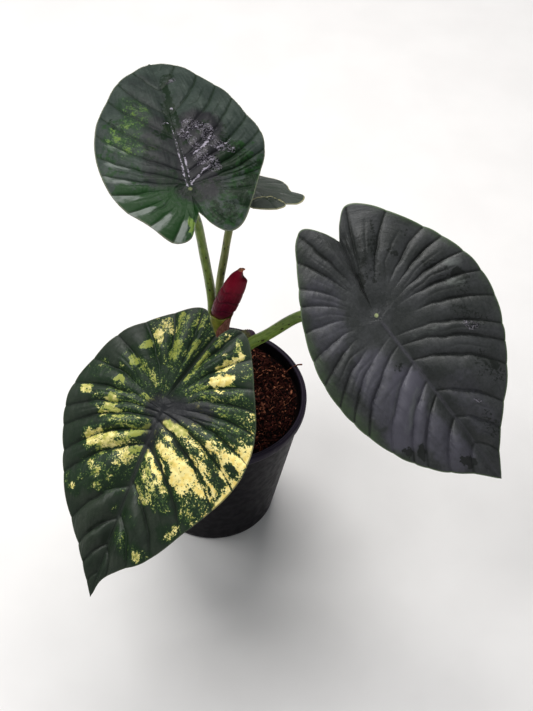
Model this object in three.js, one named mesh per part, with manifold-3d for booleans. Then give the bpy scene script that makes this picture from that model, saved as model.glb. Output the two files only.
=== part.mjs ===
// A potted variegated nebula alocasia: four quilted shield leaves on round stalks, a red bud
// sheath, and a black nursery pot filled with coir. Millimetres, +Z up. The origin is the centre
// of the pot's base, +X runs to the viewer's right and +Y away from the viewer.
import * as THREE from "three";
import { mergeVertices } from "three/addons/utils/BufferGeometryUtils.js";
import Module from "manifold-3d";

// Driving dimensions of the pot and its filling.
const GAP = 0.3;
const POT = { rim: 60, foot: 44.5, height: 110, wall: 1.4, floor: 2, lipHeight: 7, lipOut: 2.2,
  sides: 48 };
const DRAIN = { count: 6, radius: 4, ring: 31, sides: 12 };
const COIR = { edgeLevel: 96.5, midLevel: 100.5, clear: 0.4, sides: 40 };
const CROWN = { x: -1.5, y: 19.5, depth: 74 };
const WELL = { stalkClear: 0.8, crownClear: 3, sides: 20 };

// Chips lie in the coir's face on a sunflower spiral. Sizes run from a least value over a range.
const CHIPS = { count: 76, reach: 47.5, seed: 41, turn: 2.39996, rollRange: 1.2, pitchRange: 0.7,
  length: [6, 8], width: [2, 2], height: [2, 1.6], sunk: 0.3, fall: 2.9, lift: 0.9 };

// Driving dimensions that all blades share. The disc is where the stalk joins the blade.
const BLADE = {
  thickness: 0.9,
  discRadius: 3.4,
  ribDepth: 2.2,
  ribFade: 0.75,
  bow: 0.16,
  puffSharpness: 0.6,
  marginPuff: 0.93,
  troughWidth: 9,
  fullPuffLength: 30,
  fullWaveLength: 40,
  waveTurns: 2.3,
  veinSpread: 2,
  fullBowVein: 3,
};

// Attitude: heading from +X, slope of the midrib, roll that lifts the left half, in degrees.
// Arches are radii of curvature in mm. Outlines run from the sinus to the tip, in mm, with x
// along the midrib and y to the left; both halves start at the sinus and end at the tip.
const LEAVES = {
  back: {
    at: [-23, -10, 300], heading: 107.4, slope: 9.3, roll: 1.1,
    archFront: 350, archBack: 500, archSide: 330,
    veins: 13, fanVeins: 5, puff: 1.5, trough: 2.2, wave: 1.0,
    sinus: [-16, -2], tip: [114, 3],
    left: [[-26, 2], [-35.5, 7], [-36, 17], [-24, 28], [-10, 39.5], [8, 47.5], [30, 49.5],
      [52, 46.5], [74, 37.5], [95, 24.5]],
    right: [[-27, -7.5], [-33, -16], [-27, -25.5], [-10, -35], [8, -43], [24, -49.5],
      [42, -50.5], [62, -44], [84, -33], [103, -18]],
    color: 0x5f7363,
  },
  front: {
    at: [-27, -93, 205], heading: -112.2, slope: -37.6, roll: 1.1,
    archFront: 500, archBack: 600, archSide: 300,
    veins: 13, fanVeins: 5, puff: 2.0, trough: 2.4, wave: 1.2,
    sinus: [-48, 13], tip: [122, 0],
    left: [[-56, 21], [-55, 30], [-40, 40.5], [-20, 51], [0, 58.5], [20, 60], [42, 52.5],
      [65, 40], [88, 25.5], [100, 12], [110, 3.5]],
    right: [[-55, 6.5], [-61, 0], [-54, -13], [-40, -31], [-26, -44], [-6, -53.5], [14, -58],
      [34, -54.5], [56, -44], [78, -31.5], [98, -15], [112, -5.5]],
    color: 0x9aa75c,
  },
  right: {
    at: [92.5, -36, 238], heading: -37.5, slope: -29, roll: 30,
    archFront: 500, archBack: 600, archSide: 300,
    veins: 14, fanVeins: 5, puff: 2.0, trough: 2.2, wave: 0.8,
    sinus: [-48, 10], tip: [125, 0],
    left: [[-57, 17.5], [-62.5, 27], [-53, 38.5], [-36, 49], [-15, 60], [8, 66.5], [30, 65.5],
      [52, 56.5], [74, 42.5], [94, 23], [110, 9]],
    right: [[-58, 5], [-67, -3], [-63, -11], [-46, -23], [-24, -37], [0, -47], [24, -51],
      [52, -48.5], [78, -39.5], [98, -26], [112, -11]],
    color: 0x5c5a66,
  },
  young: {
    at: [1.9, 44.5, 258], heading: 165, slope: -3, roll: 24,
    archFront: 300, archBack: 600, archSide: 250,
    veins: 9, fanVeins: 4, puff: 1.0, trough: 1.4, wave: 0.6,
    sinus: [-27, 4], tip: [72, 0],
    left: [[-34, 8], [-34, 17], [-25, 26], [-10, 32], [8, 34], [24, 29.5], [40, 19], [56, 10.5]],
    right: [[-33, 2.8], [-39, 2.6], [-42.5, -2.5], [-38.5, -9], [-31, -14.5], [-24, -22.5],
      [-12, -28.5], [4, -31], [24, -28], [40, -19], [56, -10.5]],
    color: 0x8c9a86,
  },
};

// Where the mesh of a blade is cut: across each bay between two veins, more finely in the round
// lobes, and out to the margin.
const BAY_CUTS = [0, 0.22, 0.78];
const LOBE_CUTS = [0, 0.2, 0.4, 0.6, 0.8];
const LOBE_BAYS = 3;
const MARGIN_CUTS = [0, 0.06, 0.2, 0.42, 0.64, 0.84, 1];

// Stalks: the points that each axis passes through, from its foot in the coir to its blade.
const STALKS = {
  back: { through: [[-10.4, 24.6, 110], [-8.3, 28, 152], [-9.4, 24, 177], [-14.8, 12.9, 225],
    [-19.3, 3.1, 262]], foot: [-10.8, 23.8], footRadius: 4.9, topRadius: 2.7, color: 0x6f8f4a },
  front: { through: [[-7.8, 9.6, 110], [-11, 1, 150], [-15.5, -25, 178], [-19.5, -58, 190]],
    foot: [-7.2, 10.4], footRadius: 5.1, topRadius: 3.0, color: 0x74934c },
  right: { through: [[8.9, 15, 110], [14, 12.2, 141], [30.9, 5.9, 167], [49.2, -3, 195.5],
    [72, -18.5, 220]], foot: [8.3, 15.2], footRadius: 5.2, topRadius: 3.3, color: 0x76954e },
  young: { through: [[-2, 30.4, 110], [-4.6, 35, 152], [-5.1, 35, 177], [-3.2, 36.5, 203],
    [-1.8, 37.4, 222]], foot: [-1.6, 29.6], footRadius: 4.4, topRadius: 2.4, color: 0x8a9a55 },
};
const STALK = { sides: 10, steps: 17, neck: 8, slimming: 0.25, swellReach: 0.45 };

// The flap at the top of the right stalk's sheathing foot: half sizes along, across and up.
const FLAP = { at: [16.6, 14.2, 151.2], along: [0.845, 0, 0.534], up: [-0.45, 0.55, 0.7],
  half: [6.4, 1.6, 4.6] };

// The red bud sheath. Its sizes are given at even steps from its hidden foot to its point.
const BUD = {
  through: [[-1.6, 17.6, 126], [-1.4, 17.4, 150], [-1.4, 17.2, 168], [2.6, 15.7, 188],
    [6.2, 15.4, 201], [8.8, 15.6, 210], [10.2, 14.9, 216]],
  halfWidths: [2.6, 3.0, 3.2, 3.5, 3.7, 3.9, 7.4, 7.4, 7.2, 6.7, 5.6, 3.4, 0.6],
  halfDepths: [2.6, 2.9, 3.0, 3.2, 3.4, 3.5, 5.2, 5.3, 5.3, 5.0, 4.2, 2.5, 0.6],
  steps: 24, sides: 12,
};

// The crown between the stalks' feet, the green sheath that stands on it as a cup round the
// bud, and the dry sheath that wraps the right half of the cup. Levels are shares of the bud.
const CORE = { radius: 4.4, top: 122 };
const CUP = { bottom: 122.4, floor: 125.5, clear: 0.4, wall: 0.9, sides: 16,
  levels: [0.03, 0.12, 0.22, 0.32, 0.41] };
const WRAP = { wall: 0.8, from: -115, to: 35, steps: 8, rise: 4,
  levels: [0.2, 0.27, 0.34, 0.41] };

const wasm = await Module();
wasm.setup();

// A closed three.js geometry as a solid that can be joined or cut.
function solid(geometry) {
  const bare = geometry.clone();
  bare.deleteAttribute("normal");
  bare.deleteAttribute("uv");
  const merged = mergeVertices(bare, 1e-4);
  const vertProperties = new Float32Array(merged.attributes.position.array);
  const triVerts = new Uint32Array(merged.index.array);
  return new wasm.Manifold(new wasm.Mesh({ numProp: 3, vertProperties, triVerts }));
}

// The joined or cut solid as a three.js geometry again.
function geometryOf(manifold) {
  const mesh = manifold.getMesh();
  const geometry = new THREE.BufferGeometry();
  geometry.setAttribute("position", new THREE.BufferAttribute(mesh.vertProperties, 3));
  geometry.setIndex(new THREE.BufferAttribute(mesh.triVerts, 1));
  geometry.computeVertexNormals();
  return geometry;
}

// Two fixed directions.
const UPWARDS = new THREE.Vector3(0, 0, 1);
const TO_THE_RIGHT = new THREE.Vector3(1, 0, 0);

// Numbers from 0 to 1 in a fixed order.
function seededRandom(seed) {
  let state = seed;
  return () => {
    state = (state * 1664525 + 1013904223) % 4294967296;
    return state / 4294967296;
  };
}

// Collects triangles, leaving out those that collapse to a line.
class Skin {
  constructor() {
    this.corners = [];
  }

  triangle(a, b, c) {
    const flat = a.distanceTo(b) < 1e-4 || b.distanceTo(c) < 1e-4 || c.distanceTo(a) < 1e-4;
    if (!flat) this.corners.push(a, b, c);
  }

  quad(a, b, c, d) {
    this.triangle(a, b, c);
    this.triangle(a, c, d);
  }

  geometry() {
    const soup = new THREE.BufferGeometry().setFromPoints(this.corners);
    const merged = mergeVertices(soup, 1e-4);
    merged.computeVertexNormals();
    return merged;
  }
}

// A closed body through rings of points that all run anticlockwise about the way forward.
function loft(rings) {
  const skin = new Skin();
  const sides = rings[0].length;
  for (let i = 1; i < rings.length; i++) {
    for (let j = 0; j < sides; j++) {
      const k = (j + 1) % sides;
      skin.quad(rings[i - 1][j], rings[i - 1][k], rings[i][k], rings[i][j]);
    }
  }
  closeEnd(skin, rings[0], true);
  closeEnd(skin, rings.at(-1), false);
  return skin.geometry();
}

function closeEnd(skin, ring, atStart) {
  const middle = ring.reduce((sum, p) => sum.add(p), new THREE.Vector3());
  middle.divideScalar(ring.length);
  ring.forEach((p, j) => {
    const next = ring[(j + 1) % ring.length];
    if (atStart) skin.triangle(middle, next, p);
    else skin.triangle(middle, p, next);
  });
}

// One ring about a point, square to the way forward, with its wide axis held to the side.
function ring(centre, forward, side, halfWidth, halfDepth, sides) {
  const across = side.clone().addScaledVector(forward, -side.dot(forward)).normalize();
  const up = new THREE.Vector3().crossVectors(forward, across);
  return Array.from({ length: sides }, (_, j) => {
    const angle = (2 * Math.PI * j) / sides;
    return centre.clone()
      .addScaledVector(across, halfWidth * Math.cos(angle))
      .addScaledVector(up, halfDepth * Math.sin(angle));
  });
}

// The pot.

function potRadius(z) {
  const under = POT.rim - POT.lipOut;
  return POT.foot + ((under - POT.foot) * z) / (POT.height - POT.lipHeight);
}

// A thin tapered wall with a flat floor and a rolled lip with a groove round its top.
function potGeometry() {
  const lipFoot = POT.height - POT.lipHeight;
  const innerTop = potRadius(lipFoot) - POT.wall;
  const profile = [
    [0, 0], [POT.foot - 1.5, 0], [potRadius(1.5), 1.5], [potRadius(lipFoot), lipFoot],
    [POT.rim - 0.4, lipFoot + 0.6], [POT.rim, lipFoot + 1.6], [POT.rim, POT.height - 1.2],
    [POT.rim - 0.7, POT.height - 0.2], [POT.rim - 1.4, POT.height], [POT.rim - 1.9, POT.height - 0.6],
    [POT.rim - 2.5, POT.height - 0.1], [innerTop + 0.7, POT.height - 0.5], [innerTop + 0.3, lipFoot],
    [potRadius(POT.floor + 1) - POT.wall, POT.floor + 1],
    [potRadius(POT.floor) - POT.wall - 1, POT.floor], [0, POT.floor],
  ].map(([r, z]) => new THREE.Vector2(r, z));
  const shell = new THREE.LatheGeometry(profile, POT.sides);
  shell.rotateX(Math.PI / 2);
  let body = solid(shell);
  for (let i = 0; i < DRAIN.count; i++) {
    const angle = (2 * Math.PI * (i + 0.5)) / DRAIN.count;
    const drill = new THREE.CylinderGeometry(DRAIN.radius, DRAIN.radius, 3 * POT.floor, DRAIN.sides);
    drill.rotateX(Math.PI / 2);
    drill.translate(DRAIN.ring * Math.cos(angle), DRAIN.ring * Math.sin(angle), POT.floor / 2);
    body = body.subtract(solid(drill));
  }
  return geometryOf(body);
}

// The coir.

// One coir chip: a thin sliver that lies tilted in the surface.
function chipGeometry(random) {
  const draw = ([least, range]) => least + range * random();
  const chip = new THREE.BoxGeometry(draw(CHIPS.length), draw(CHIPS.width), draw(CHIPS.height));
  chip.rotateX((random() - 0.5) * CHIPS.rollRange);
  chip.rotateY((random() - 0.5) * CHIPS.pitchRange);
  chip.rotateZ(random() * Math.PI);
  return chip;
}

// The filling under the chips: it follows the pot's wall and is mounded towards the middle.
function fillingGeometry() {
  const fit = (z) => potRadius(z) - POT.wall - COIR.clear;
  const low = POT.floor + COIR.clear;
  const { edgeLevel, midLevel } = COIR;
  const profile = [
    [0, low], [fit(low) - 1.2, low], [fit(low + 1.2), low + 1.2], [fit(edgeLevel - 1), edgeLevel - 1],
    [fit(edgeLevel) - 2, edgeLevel + 0.4], [44, edgeLevel + 1.8], [30, midLevel - 1], [0, midLevel],
  ].map(([r, z]) => new THREE.Vector2(r, z));
  const filling = new THREE.LatheGeometry(profile, COIR.sides);
  filling.rotateX(Math.PI / 2);
  return filling;
}

// A plain round hole in the coir, down to the crown's foot.
function wellGeometry(x, y, radius) {
  const depth = POT.height - CROWN.depth;
  const well = new THREE.CylinderGeometry(radius, radius, depth, WELL.sides);
  well.rotateX(Math.PI / 2);
  well.translate(x, y, CROWN.depth - GAP + depth / 2);
  return well;
}

// The coir: its filling and chips in one body, with plain holes for the crown and the stalks.
function coirGeometry() {
  const random = seededRandom(CHIPS.seed);
  let body = solid(fillingGeometry());
  for (let i = 0; i < CHIPS.count; i++) {
    const angle = i * CHIPS.turn;
    const reach = CHIPS.reach * Math.sqrt((i + 0.5) / CHIPS.count);
    const chip = chipGeometry(random);
    const level = COIR.midLevel - CHIPS.sunk - CHIPS.fall * (reach / CHIPS.reach) ** 2;
    chip.translate(reach * Math.cos(angle), reach * Math.sin(angle), level + CHIPS.lift * random());
    body = body.add(solid(chip));
  }
  body = body.subtract(solid(wellGeometry(CROWN.x, CROWN.y, CORE.radius + WELL.crownClear)));
  for (const { foot, footRadius } of Object.values(STALKS)) {
    body = body.subtract(solid(wellGeometry(...foot, footRadius + WELL.stalkClear)));
  }
  return geometryOf(body);
}

// The blades.

// One half of a blade's margin, from the sinus round the lobe to the tip, by its length.
function marginCurve(leaf, half) {
  const points = [leaf.sinus, ...leaf[half], leaf.tip].map(([x, y]) => new THREE.Vector3(x, y, 0));
  const curve = new THREE.CatmullRomCurve3(points, false, "catmullrom", 0.5);
  curve.arcLengthDivisions = 600;
  return curve;
}

// Where a vein starts. The veins of the lobes and flanks leave the disc like a fan, and those in
// front leave the midrib, further and further apart. Behind the disc is the seam to the sinus.
function veinStart(leaf, side, q) {
  const r = BLADE.discRadius;
  const fanEnd = 1 + leaf.fanVeins;
  const [sinusX, sinusY] = leaf.sinus;
  const [tipX, tipY] = leaf.tip;
  if (q <= 1) {
    const x = sinusX * (1 - q) - r * q;
    return [x, sinusY * ((x + r) / (sinusX + r))];
  }
  if (q < fanEnd) {
    const angle = Math.PI * (1 - (q - 1) / leaf.fanVeins);
    return [r * Math.cos(angle), side * r * Math.sin(angle)];
  }
  const x = r + (tipX - r) * ((q - fanEnd) / (leaf.veins - fanEnd)) ** BLADE.veinSpread;
  return [x, tipY * ((x - r) / (tipX - r)) ** 2];
}

// A point of the upper face. q counts veins round a half from the sinus, 0, to the tip; v runs
// along a vein from its start, 0, to the margin, 1. Veins are curves bowed towards the lobes.
// The face puffs up between whole numbers of q, dips to the midrib and arches down all round.
function bladePoint(leaf, margin, side, q, v) {
  const [ix, iy] = veinStart(leaf, side, q);
  const end = margin.getPointAt(Math.min(q / leaf.veins, 1));
  const length = Math.hypot(end.x - ix, end.y - iy);
  const bow = BLADE.bow * Math.min(q / BLADE.fullBowVein, 1) * side;
  const cx = (ix + end.x) / 2 - bow * (end.y - iy);
  const cy = (iy + end.y) / 2 + bow * (end.x - ix);
  const x = (1 - v) ** 2 * ix + 2 * v * (1 - v) * cx + v ** 2 * end.x;
  const y = (1 - v) ** 2 * iy + 2 * v * (1 - v) * cy + v ** 2 * end.y;
  const bay = Math.abs(Math.sin(Math.PI * q)) ** BLADE.puffSharpness;
  const along = Math.sin(Math.PI * BLADE.marginPuff * v ** 0.75);
  const puff = leaf.puff * bay * along * Math.min(length / BLADE.fullPuffLength, 1);
  const trough = leaf.trough * (1 - Math.exp(-((v * length / BLADE.troughWidth) ** 2)));
  const ripple = v ** 3 * Math.sin(BLADE.waveTurns * q + side);
  const wave = leaf.wave * ripple * Math.min(length / BLADE.fullWaveLength, 1);
  const archX = x > 0 ? leaf.archFront : leaf.archBack;
  const arch = x ** 2 / (2 * archX) + y ** 2 / (2 * leaf.archSide);
  return new THREE.Vector3(x, y, puff + trough + wave - arch);
}

// How far the lower face hangs below the upper one: deeper along the midrib and at the disc.
function depthBelow(leaf, v, x) {
  if (v > 0) return BLADE.thickness;
  const reach = x > 0 ? leaf.tip[0] : leaf.sinus[0];
  const fade = Math.max(0, 1 - x / reach) ** BLADE.ribFade;
  return BLADE.thickness + BLADE.ribDepth * fade;
}

// The columns of a half blade, each a row of points on the upper face with its depth below.
function bladeColumns(leaf, half, side) {
  const margin = marginCurve(leaf, half);
  const columns = [];
  for (let bay = 0; bay < leaf.veins; bay++) {
    for (const cut of bay < LOBE_BAYS ? LOBE_CUTS : BAY_CUTS) columns.push(bay + cut);
  }
  columns.push(leaf.veins);
  return columns.map((q) => MARGIN_CUTS.map((v) => {
    const upper = bladePoint(leaf, margin, side, q, v);
    const onDisc = v === 0 && q >= 1 && q <= 1 + leaf.fanVeins;
    const depth = onDisc ? BLADE.thickness + BLADE.ribDepth : depthBelow(leaf, v, upper.x);
    const atEnd = q === 0 || q === leaf.veins;
    const lower = upper.clone();
    lower.z -= atEnd ? BLADE.thickness : depth;
    return { q, upper, lower };
  }));
}

// Both faces of a half blade, alike in their triangles, with the margin between them.
function addHalf(skin, leaf, columns, side) {
  const quad = (a, b, c, d) => (side > 0 ? skin.quad(a, b, c, d) : skin.quad(b, a, d, c));
  const last = MARGIN_CUTS.length - 1;
  for (let i = 1; i < columns.length; i++) {
    for (let k = 1; k <= last; k++) {
      const [a, b] = [columns[i - 1][k - 1], columns[i - 1][k]];
      const [d, c] = [columns[i][k - 1], columns[i][k]];
      quad(d.upper, c.upper, b.upper, a.upper);
      quad(a.lower, b.lower, c.lower, d.lower);
    }
    const [near, far] = [columns[i - 1][last], columns[i][last]];
    quad(far.upper, far.lower, near.lower, near.upper);
  }
}

// The half disc where the stalk joins, from its middle to the starts of the fan's veins.
function addDisc(skin, leaf, columns, side) {
  const top = new THREE.Vector3(0, 0, 0);
  const bottom = new THREE.Vector3(0, 0, -BLADE.thickness - BLADE.ribDepth);
  for (let i = 1; i < columns.length; i++) {
    const [a, b] = [columns[i - 1][0], columns[i][0]];
    if (a.q < 1 || b.q > 1 + leaf.fanVeins) continue;
    const [first, second] = side > 0 ? [b, a] : [a, b];
    skin.triangle(top, first.upper, second.upper);
    skin.triangle(bottom, second.lower, first.lower);
  }
}

function bladeGeometry(leaf) {
  const skin = new Skin();
  for (const [half, side] of [["left", 1], ["right", -1]]) {
    const columns = bladeColumns(leaf, half, side);
    addHalf(skin, leaf, columns, side);
    addDisc(skin, leaf, columns, side);
  }
  return skin.geometry();
}

function bladeTurn(leaf) {
  const radians = THREE.MathUtils.degToRad;
  return new THREE.Euler(radians(leaf.roll), -radians(leaf.slope), radians(leaf.heading), "ZYX");
}

// The stalks.

// A round stalk that stands in the crown and meets the disc of its blade squarely from below.
function stalkGeometry(stalk, leaf) {
  const up = UPWARDS.clone().applyEuler(bladeTurn(leaf));
  const under = -(BLADE.thickness + BLADE.ribDepth + GAP);
  const end = new THREE.Vector3(...leaf.at).addScaledVector(up, under);
  const neck = end.clone().addScaledVector(up, -STALK.neck);
  const foot = new THREE.Vector3(...stalk.foot, CROWN.depth);
  const through = stalk.through.map((p) => new THREE.Vector3(...p));
  const axis = new THREE.CatmullRomCurve3([foot, ...through, neck, end], false, "centripetal");
  const rings = [];
  for (let i = 0; i <= STALK.steps; i++) {
    const t = i / STALK.steps;
    const forward = i === STALK.steps ? up : axis.getTangentAt(t);
    const radius = stalkRadius(stalk, t);
    rings.push(ring(axis.getPointAt(t), forward, TO_THE_RIGHT, radius, radius, STALK.sides));
  }
  return loft(rings);
}

// The stalk swells to its sheathing foot and narrows slowly to its blade.
function stalkRadius(stalk, t) {
  const swell = Math.max(0, 1 - t / STALK.swellReach) ** 1.5;
  const slim = stalk.topRadius * (1 + STALK.slimming * (1 - t));
  return slim + (stalk.footRadius - (1 + STALK.slimming) * stalk.topRadius) * swell;
}

// The right stalk with the flap that its sheathing foot ends in.
function flappedStalkGeometry(stalk, leaf) {
  const along = new THREE.Vector3(...FLAP.along).normalize();
  const thin = new THREE.Vector3(...FLAP.up).cross(along).normalize();
  const up = new THREE.Vector3().crossVectors(along, thin);
  const flap = new THREE.SphereGeometry(1, 12, 8);
  flap.scale(...FLAP.half);
  flap.applyMatrix4(new THREE.Matrix4().makeBasis(along, thin, up));
  flap.translate(...FLAP.at);
  return geometryOf(solid(stalkGeometry(stalk, leaf)).add(solid(flap)));
}

// The crown, bud, cup and dry sheath.

function coreGeometry() {
  const { radius, top } = CORE;
  const profile = [
    [0, CROWN.depth], [radius - 0.8, CROWN.depth], [radius, CROWN.depth + 1], [radius, top - 6],
    [radius - 1, top - 1], [radius - 2, top], [0, top],
  ].map(([r, z]) => new THREE.Vector2(r, z));
  const core = new THREE.LatheGeometry(profile, 14);
  core.rotateX(Math.PI / 2);
  core.translate(CROWN.x, CROWN.y, 0);
  return core;
}

// The middle, heading and half sizes of the bud at t, from its hidden foot, 0, to its point, 1.
function budSection(t) {
  const curve = new THREE.CatmullRomCurve3(BUD.through.map((p) => new THREE.Vector3(...p)));
  const pick = (sizes) => {
    const place = t * (sizes.length - 1);
    const i = Math.min(Math.floor(place), sizes.length - 2);
    return THREE.MathUtils.lerp(sizes[i], sizes[i + 1], place - i);
  };
  return {
    centre: curve.getPointAt(t),
    forward: curve.getTangentAt(t),
    halfWidth: pick(BUD.halfWidths),
    halfDepth: pick(BUD.halfDepths),
  };
}

// A ring round the bud, grown outwards by some distance.
function budRing(t, grow, sides) {
  const s = budSection(t);
  return ring(s.centre, s.forward, TO_THE_RIGHT, s.halfWidth + grow, s.halfDepth + grow, sides);
}

function budGeometry() {
  const rings = [];
  for (let i = 0; i <= BUD.steps; i++) rings.push(budRing(i / BUD.steps, 0, BUD.sides));
  return loft(rings);
}

// The cup: up its outside, over its mouth, and down its inside to its floor.
function cupGeometry() {
  const foot = budSection(0);
  const level = (z, size) => {
    const centre = new THREE.Vector3(foot.centre.x, foot.centre.y, z);
    return ring(centre, UPWARDS, TO_THE_RIGHT, size, size, CUP.sides);
  };
  const outer = CUP.clear + CUP.wall;
  const outside = CUP.levels.map((t) => budRing(t, outer, CUP.sides));
  const inside = [...CUP.levels].reverse().map((t) => budRing(t, CUP.clear, CUP.sides));
  const low = level(CUP.bottom, foot.halfWidth + outer);
  const floor = level(CUP.floor, foot.halfWidth + CUP.clear);
  return loft([low, ...outside, ...inside, floor]);
}

// One level of the dry sheath: round its outside and back round its inside.
function wrapRing(t) {
  const s = budSection(t);
  const lift = WRAP.rise * ((t - WRAP.levels[0]) / (WRAP.levels.at(-1) - WRAP.levels[0]));
  const arc = (grow) => Array.from({ length: WRAP.steps + 1 }, (_, i) => {
    const share = i / WRAP.steps;
    const angle = THREE.MathUtils.degToRad(THREE.MathUtils.lerp(WRAP.from, WRAP.to, share));
    const x = (s.halfWidth + grow) * Math.cos(angle);
    const y = (s.halfDepth + grow) * Math.sin(angle);
    return s.centre.clone().add(new THREE.Vector3(x, y, lift * share));
  });
  const inner = CUP.clear + CUP.wall + GAP;
  return [...arc(inner + WRAP.wall), ...arc(inner).reverse()];
}

// The assembly.

function finish(color, roughness) {
  return new THREE.MeshStandardMaterial({ color, roughness, metalness: 0 });
}

function addPiece(group, name, geometry, material) {
  const mesh = new THREE.Mesh(geometry, material);
  mesh.name = name;
  group.add(mesh);
  return mesh;
}

const plant = new THREE.Group();
addPiece(plant, "pot", potGeometry(), finish(0x17141a, 0.45));
addPiece(plant, "coir", coirGeometry(), finish(0x5a2e20, 0.95));
addPiece(plant, "crown", coreGeometry(), finish(0x8a7a4c, 0.7));
addPiece(plant, "green_sheath", cupGeometry(), finish(0x9aa03a, 0.5));
addPiece(plant, "dry_sheath", loft(WRAP.levels.map(wrapRing)), finish(0x8c5a4c, 0.7));
addPiece(plant, "bud_sheath", budGeometry(), finish(0x8a1430, 0.4));
for (const [name, leaf] of Object.entries(LEAVES)) {
  const blade = addPiece(plant, `blade_${name}`, bladeGeometry(leaf), finish(leaf.color, 0.45));
  blade.position.set(...leaf.at);
  blade.rotation.copy(bladeTurn(leaf));
  const stalk = STALKS[name];
  const grow = name === "right" ? flappedStalkGeometry : stalkGeometry;
  addPiece(plant, `stalk_${name}`, grow(stalk, leaf), finish(stalk.color, 0.45));
}

export default plant;
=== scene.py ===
# %% [markdown]
# # A potted, variegated alocasia
# This plant has four quilted leaves on round stalks, a red bud sheath, and a black nursery pot
# of coir. Its pieces are measured solids in one frame, and this lesson grows the fine surface of
# each over its solid. Every surface is worked out with numpy: a formula of two parameters is
# sampled on a grid, and the grid becomes a closed mesh. Lengths here are in millimetres until a
# mesh is made, because a leaf is easier to picture in them than in Blender's metres.

# %% Load the measured frame
import bmesh
import bpy
import numpy as np
from mathutils import Matrix, Vector


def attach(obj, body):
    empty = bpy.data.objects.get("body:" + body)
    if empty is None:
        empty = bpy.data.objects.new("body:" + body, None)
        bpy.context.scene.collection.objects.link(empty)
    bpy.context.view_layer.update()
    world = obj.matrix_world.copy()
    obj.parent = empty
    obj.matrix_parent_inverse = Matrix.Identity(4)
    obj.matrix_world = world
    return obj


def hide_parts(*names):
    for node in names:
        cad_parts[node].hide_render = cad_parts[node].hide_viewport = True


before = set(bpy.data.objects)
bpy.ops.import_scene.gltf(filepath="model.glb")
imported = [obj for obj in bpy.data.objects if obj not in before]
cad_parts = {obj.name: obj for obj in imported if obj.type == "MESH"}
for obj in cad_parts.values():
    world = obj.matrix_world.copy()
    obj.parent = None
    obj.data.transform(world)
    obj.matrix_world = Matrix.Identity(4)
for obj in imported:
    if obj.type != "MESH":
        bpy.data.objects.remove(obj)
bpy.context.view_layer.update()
SCENE = bpy.context.scene
MM = 0.001

# %% [markdown]
# ## The camera
# The photograph looks down on the pot from the front, tipped a little to the right. The ellipse
# of the pot's rim gives the pitch, and the lean of the pot gives the roll. The focal length is
# long, so the leaves in front are only a little larger than those behind.

# %% Camera
PITCH, ROLL = np.radians(48.7), np.radians(5.7)
AIM, DISTANCE = np.array([30.0, 133.0, 0.0]), 1180.0
FOCAL_PIXELS, LONG_SIDE_PIXELS, SENSOR = 1500.0, 711.0, 36.0


def camera_axes():
    """The camera's right, up and backward axes: level axes turned by the pitch, then the roll."""
    forward = np.array([0, np.cos(PITCH), -np.sin(PITCH)])
    level_up = np.array([0, np.sin(PITCH), np.cos(PITCH)])
    level_right = np.array([1.0, 0, 0])
    right = np.cos(ROLL) * level_right + np.sin(ROLL) * level_up
    up = np.cos(ROLL) * level_up - np.sin(ROLL) * level_right
    return right, up, -forward


right, up, back = camera_axes()
lens = bpy.data.cameras.new("camera")
lens.sensor_width = SENSOR
lens.lens = FOCAL_PIXELS * SENSOR / LONG_SIDE_PIXELS
camera = bpy.data.objects.new("camera", lens)
turned = Matrix(np.stack([right, up, back], 1).tolist()).to_4x4()
camera.matrix_world = Matrix.Translation((AIM + DISTANCE * back) * MM) @ turned
SCENE.collection.objects.link(camera)
SCENE.camera = camera
print("camera: lens", round(lens.lens, 1), "mm")

# %% [markdown]
# ## The studio
# There are three soft area lights, and the floor comes last. The strongest light hangs high behind
# the plant and grazes the leaves, so that every crease and swelling has a light side and a dark
# one. One light above, to the left, and one in front fill the shadows. The view transform is the
# plain one, so that the tones of the leaves are those of their materials under this light.

# %% World and lights
def area_light(name, place, aim, size, watts, color):
    """A rectangular soft light at a place, in metres, facing the point that it is aimed at."""
    lamp = bpy.data.lights.new(name, "AREA")
    lamp.shape, lamp.size, lamp.size_y = "RECTANGLE", size[0], size[1]
    lamp.energy, lamp.color = watts, color
    light = bpy.data.objects.new(name, lamp)
    light.location = place
    toward = Vector(aim) - Vector(place)
    light.rotation_euler = toward.to_track_quat("-Z", "Y").to_euler()
    SCENE.collection.objects.link(light)


def soft_world(color, strength):
    """An even pale light from all round."""
    world = bpy.data.worlds.new("studio")
    world.use_nodes = True
    background = world.node_tree.nodes["Background"]
    background.inputs["Color"].default_value = (*color, 1)
    background.inputs["Strength"].default_value = strength
    SCENE.world = world


LEAF_MIDDLE = (0.03, -0.03, 0.2)
area_light("behind", (-0.15, 0.62, 1.4), LEAF_MIDDLE, (1.0, 0.5), 18, (1.0, 0.98, 0.96))
area_light("above", (-0.6, -0.2, 1.3), LEAF_MIDDLE, (0.7, 0.7), 11, (1.0, 0.99, 0.98))
area_light("front", (0.8, -1.2, 0.9), LEAF_MIDDLE, (1.0, 0.7), 2.5, (0.96, 0.97, 1.0))
soft_world((0.92, 0.94, 1.0), 0.19)
SCENE.view_settings.view_transform = "Standard"
print("lights:", len(bpy.data.lights))

# %% [markdown]
# ## Making a material node by node
# Every finish here is a Principled shader whose colour, roughness and bump come from small
# patterns. The helper below keeps such a tree short to write: each method adds a node or two and
# returns the socket that they give, so patterns read like sums. Patterns take their place from
# Object coordinates, or from numbers stored on the mesh, such as the distance to a vein.

# %% Screen colours
def tone(red, green, blue):
    """A screen colour, 0 to 255 a channel, as the linear colour that a shader takes."""
    screen = np.array([red, green, blue]) / 255
    linear = np.where(screen <= 0.04045, screen / 12.92, ((screen + 0.055) / 1.055) ** 2.4)
    return (*linear.tolist(), 1.0)


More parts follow.
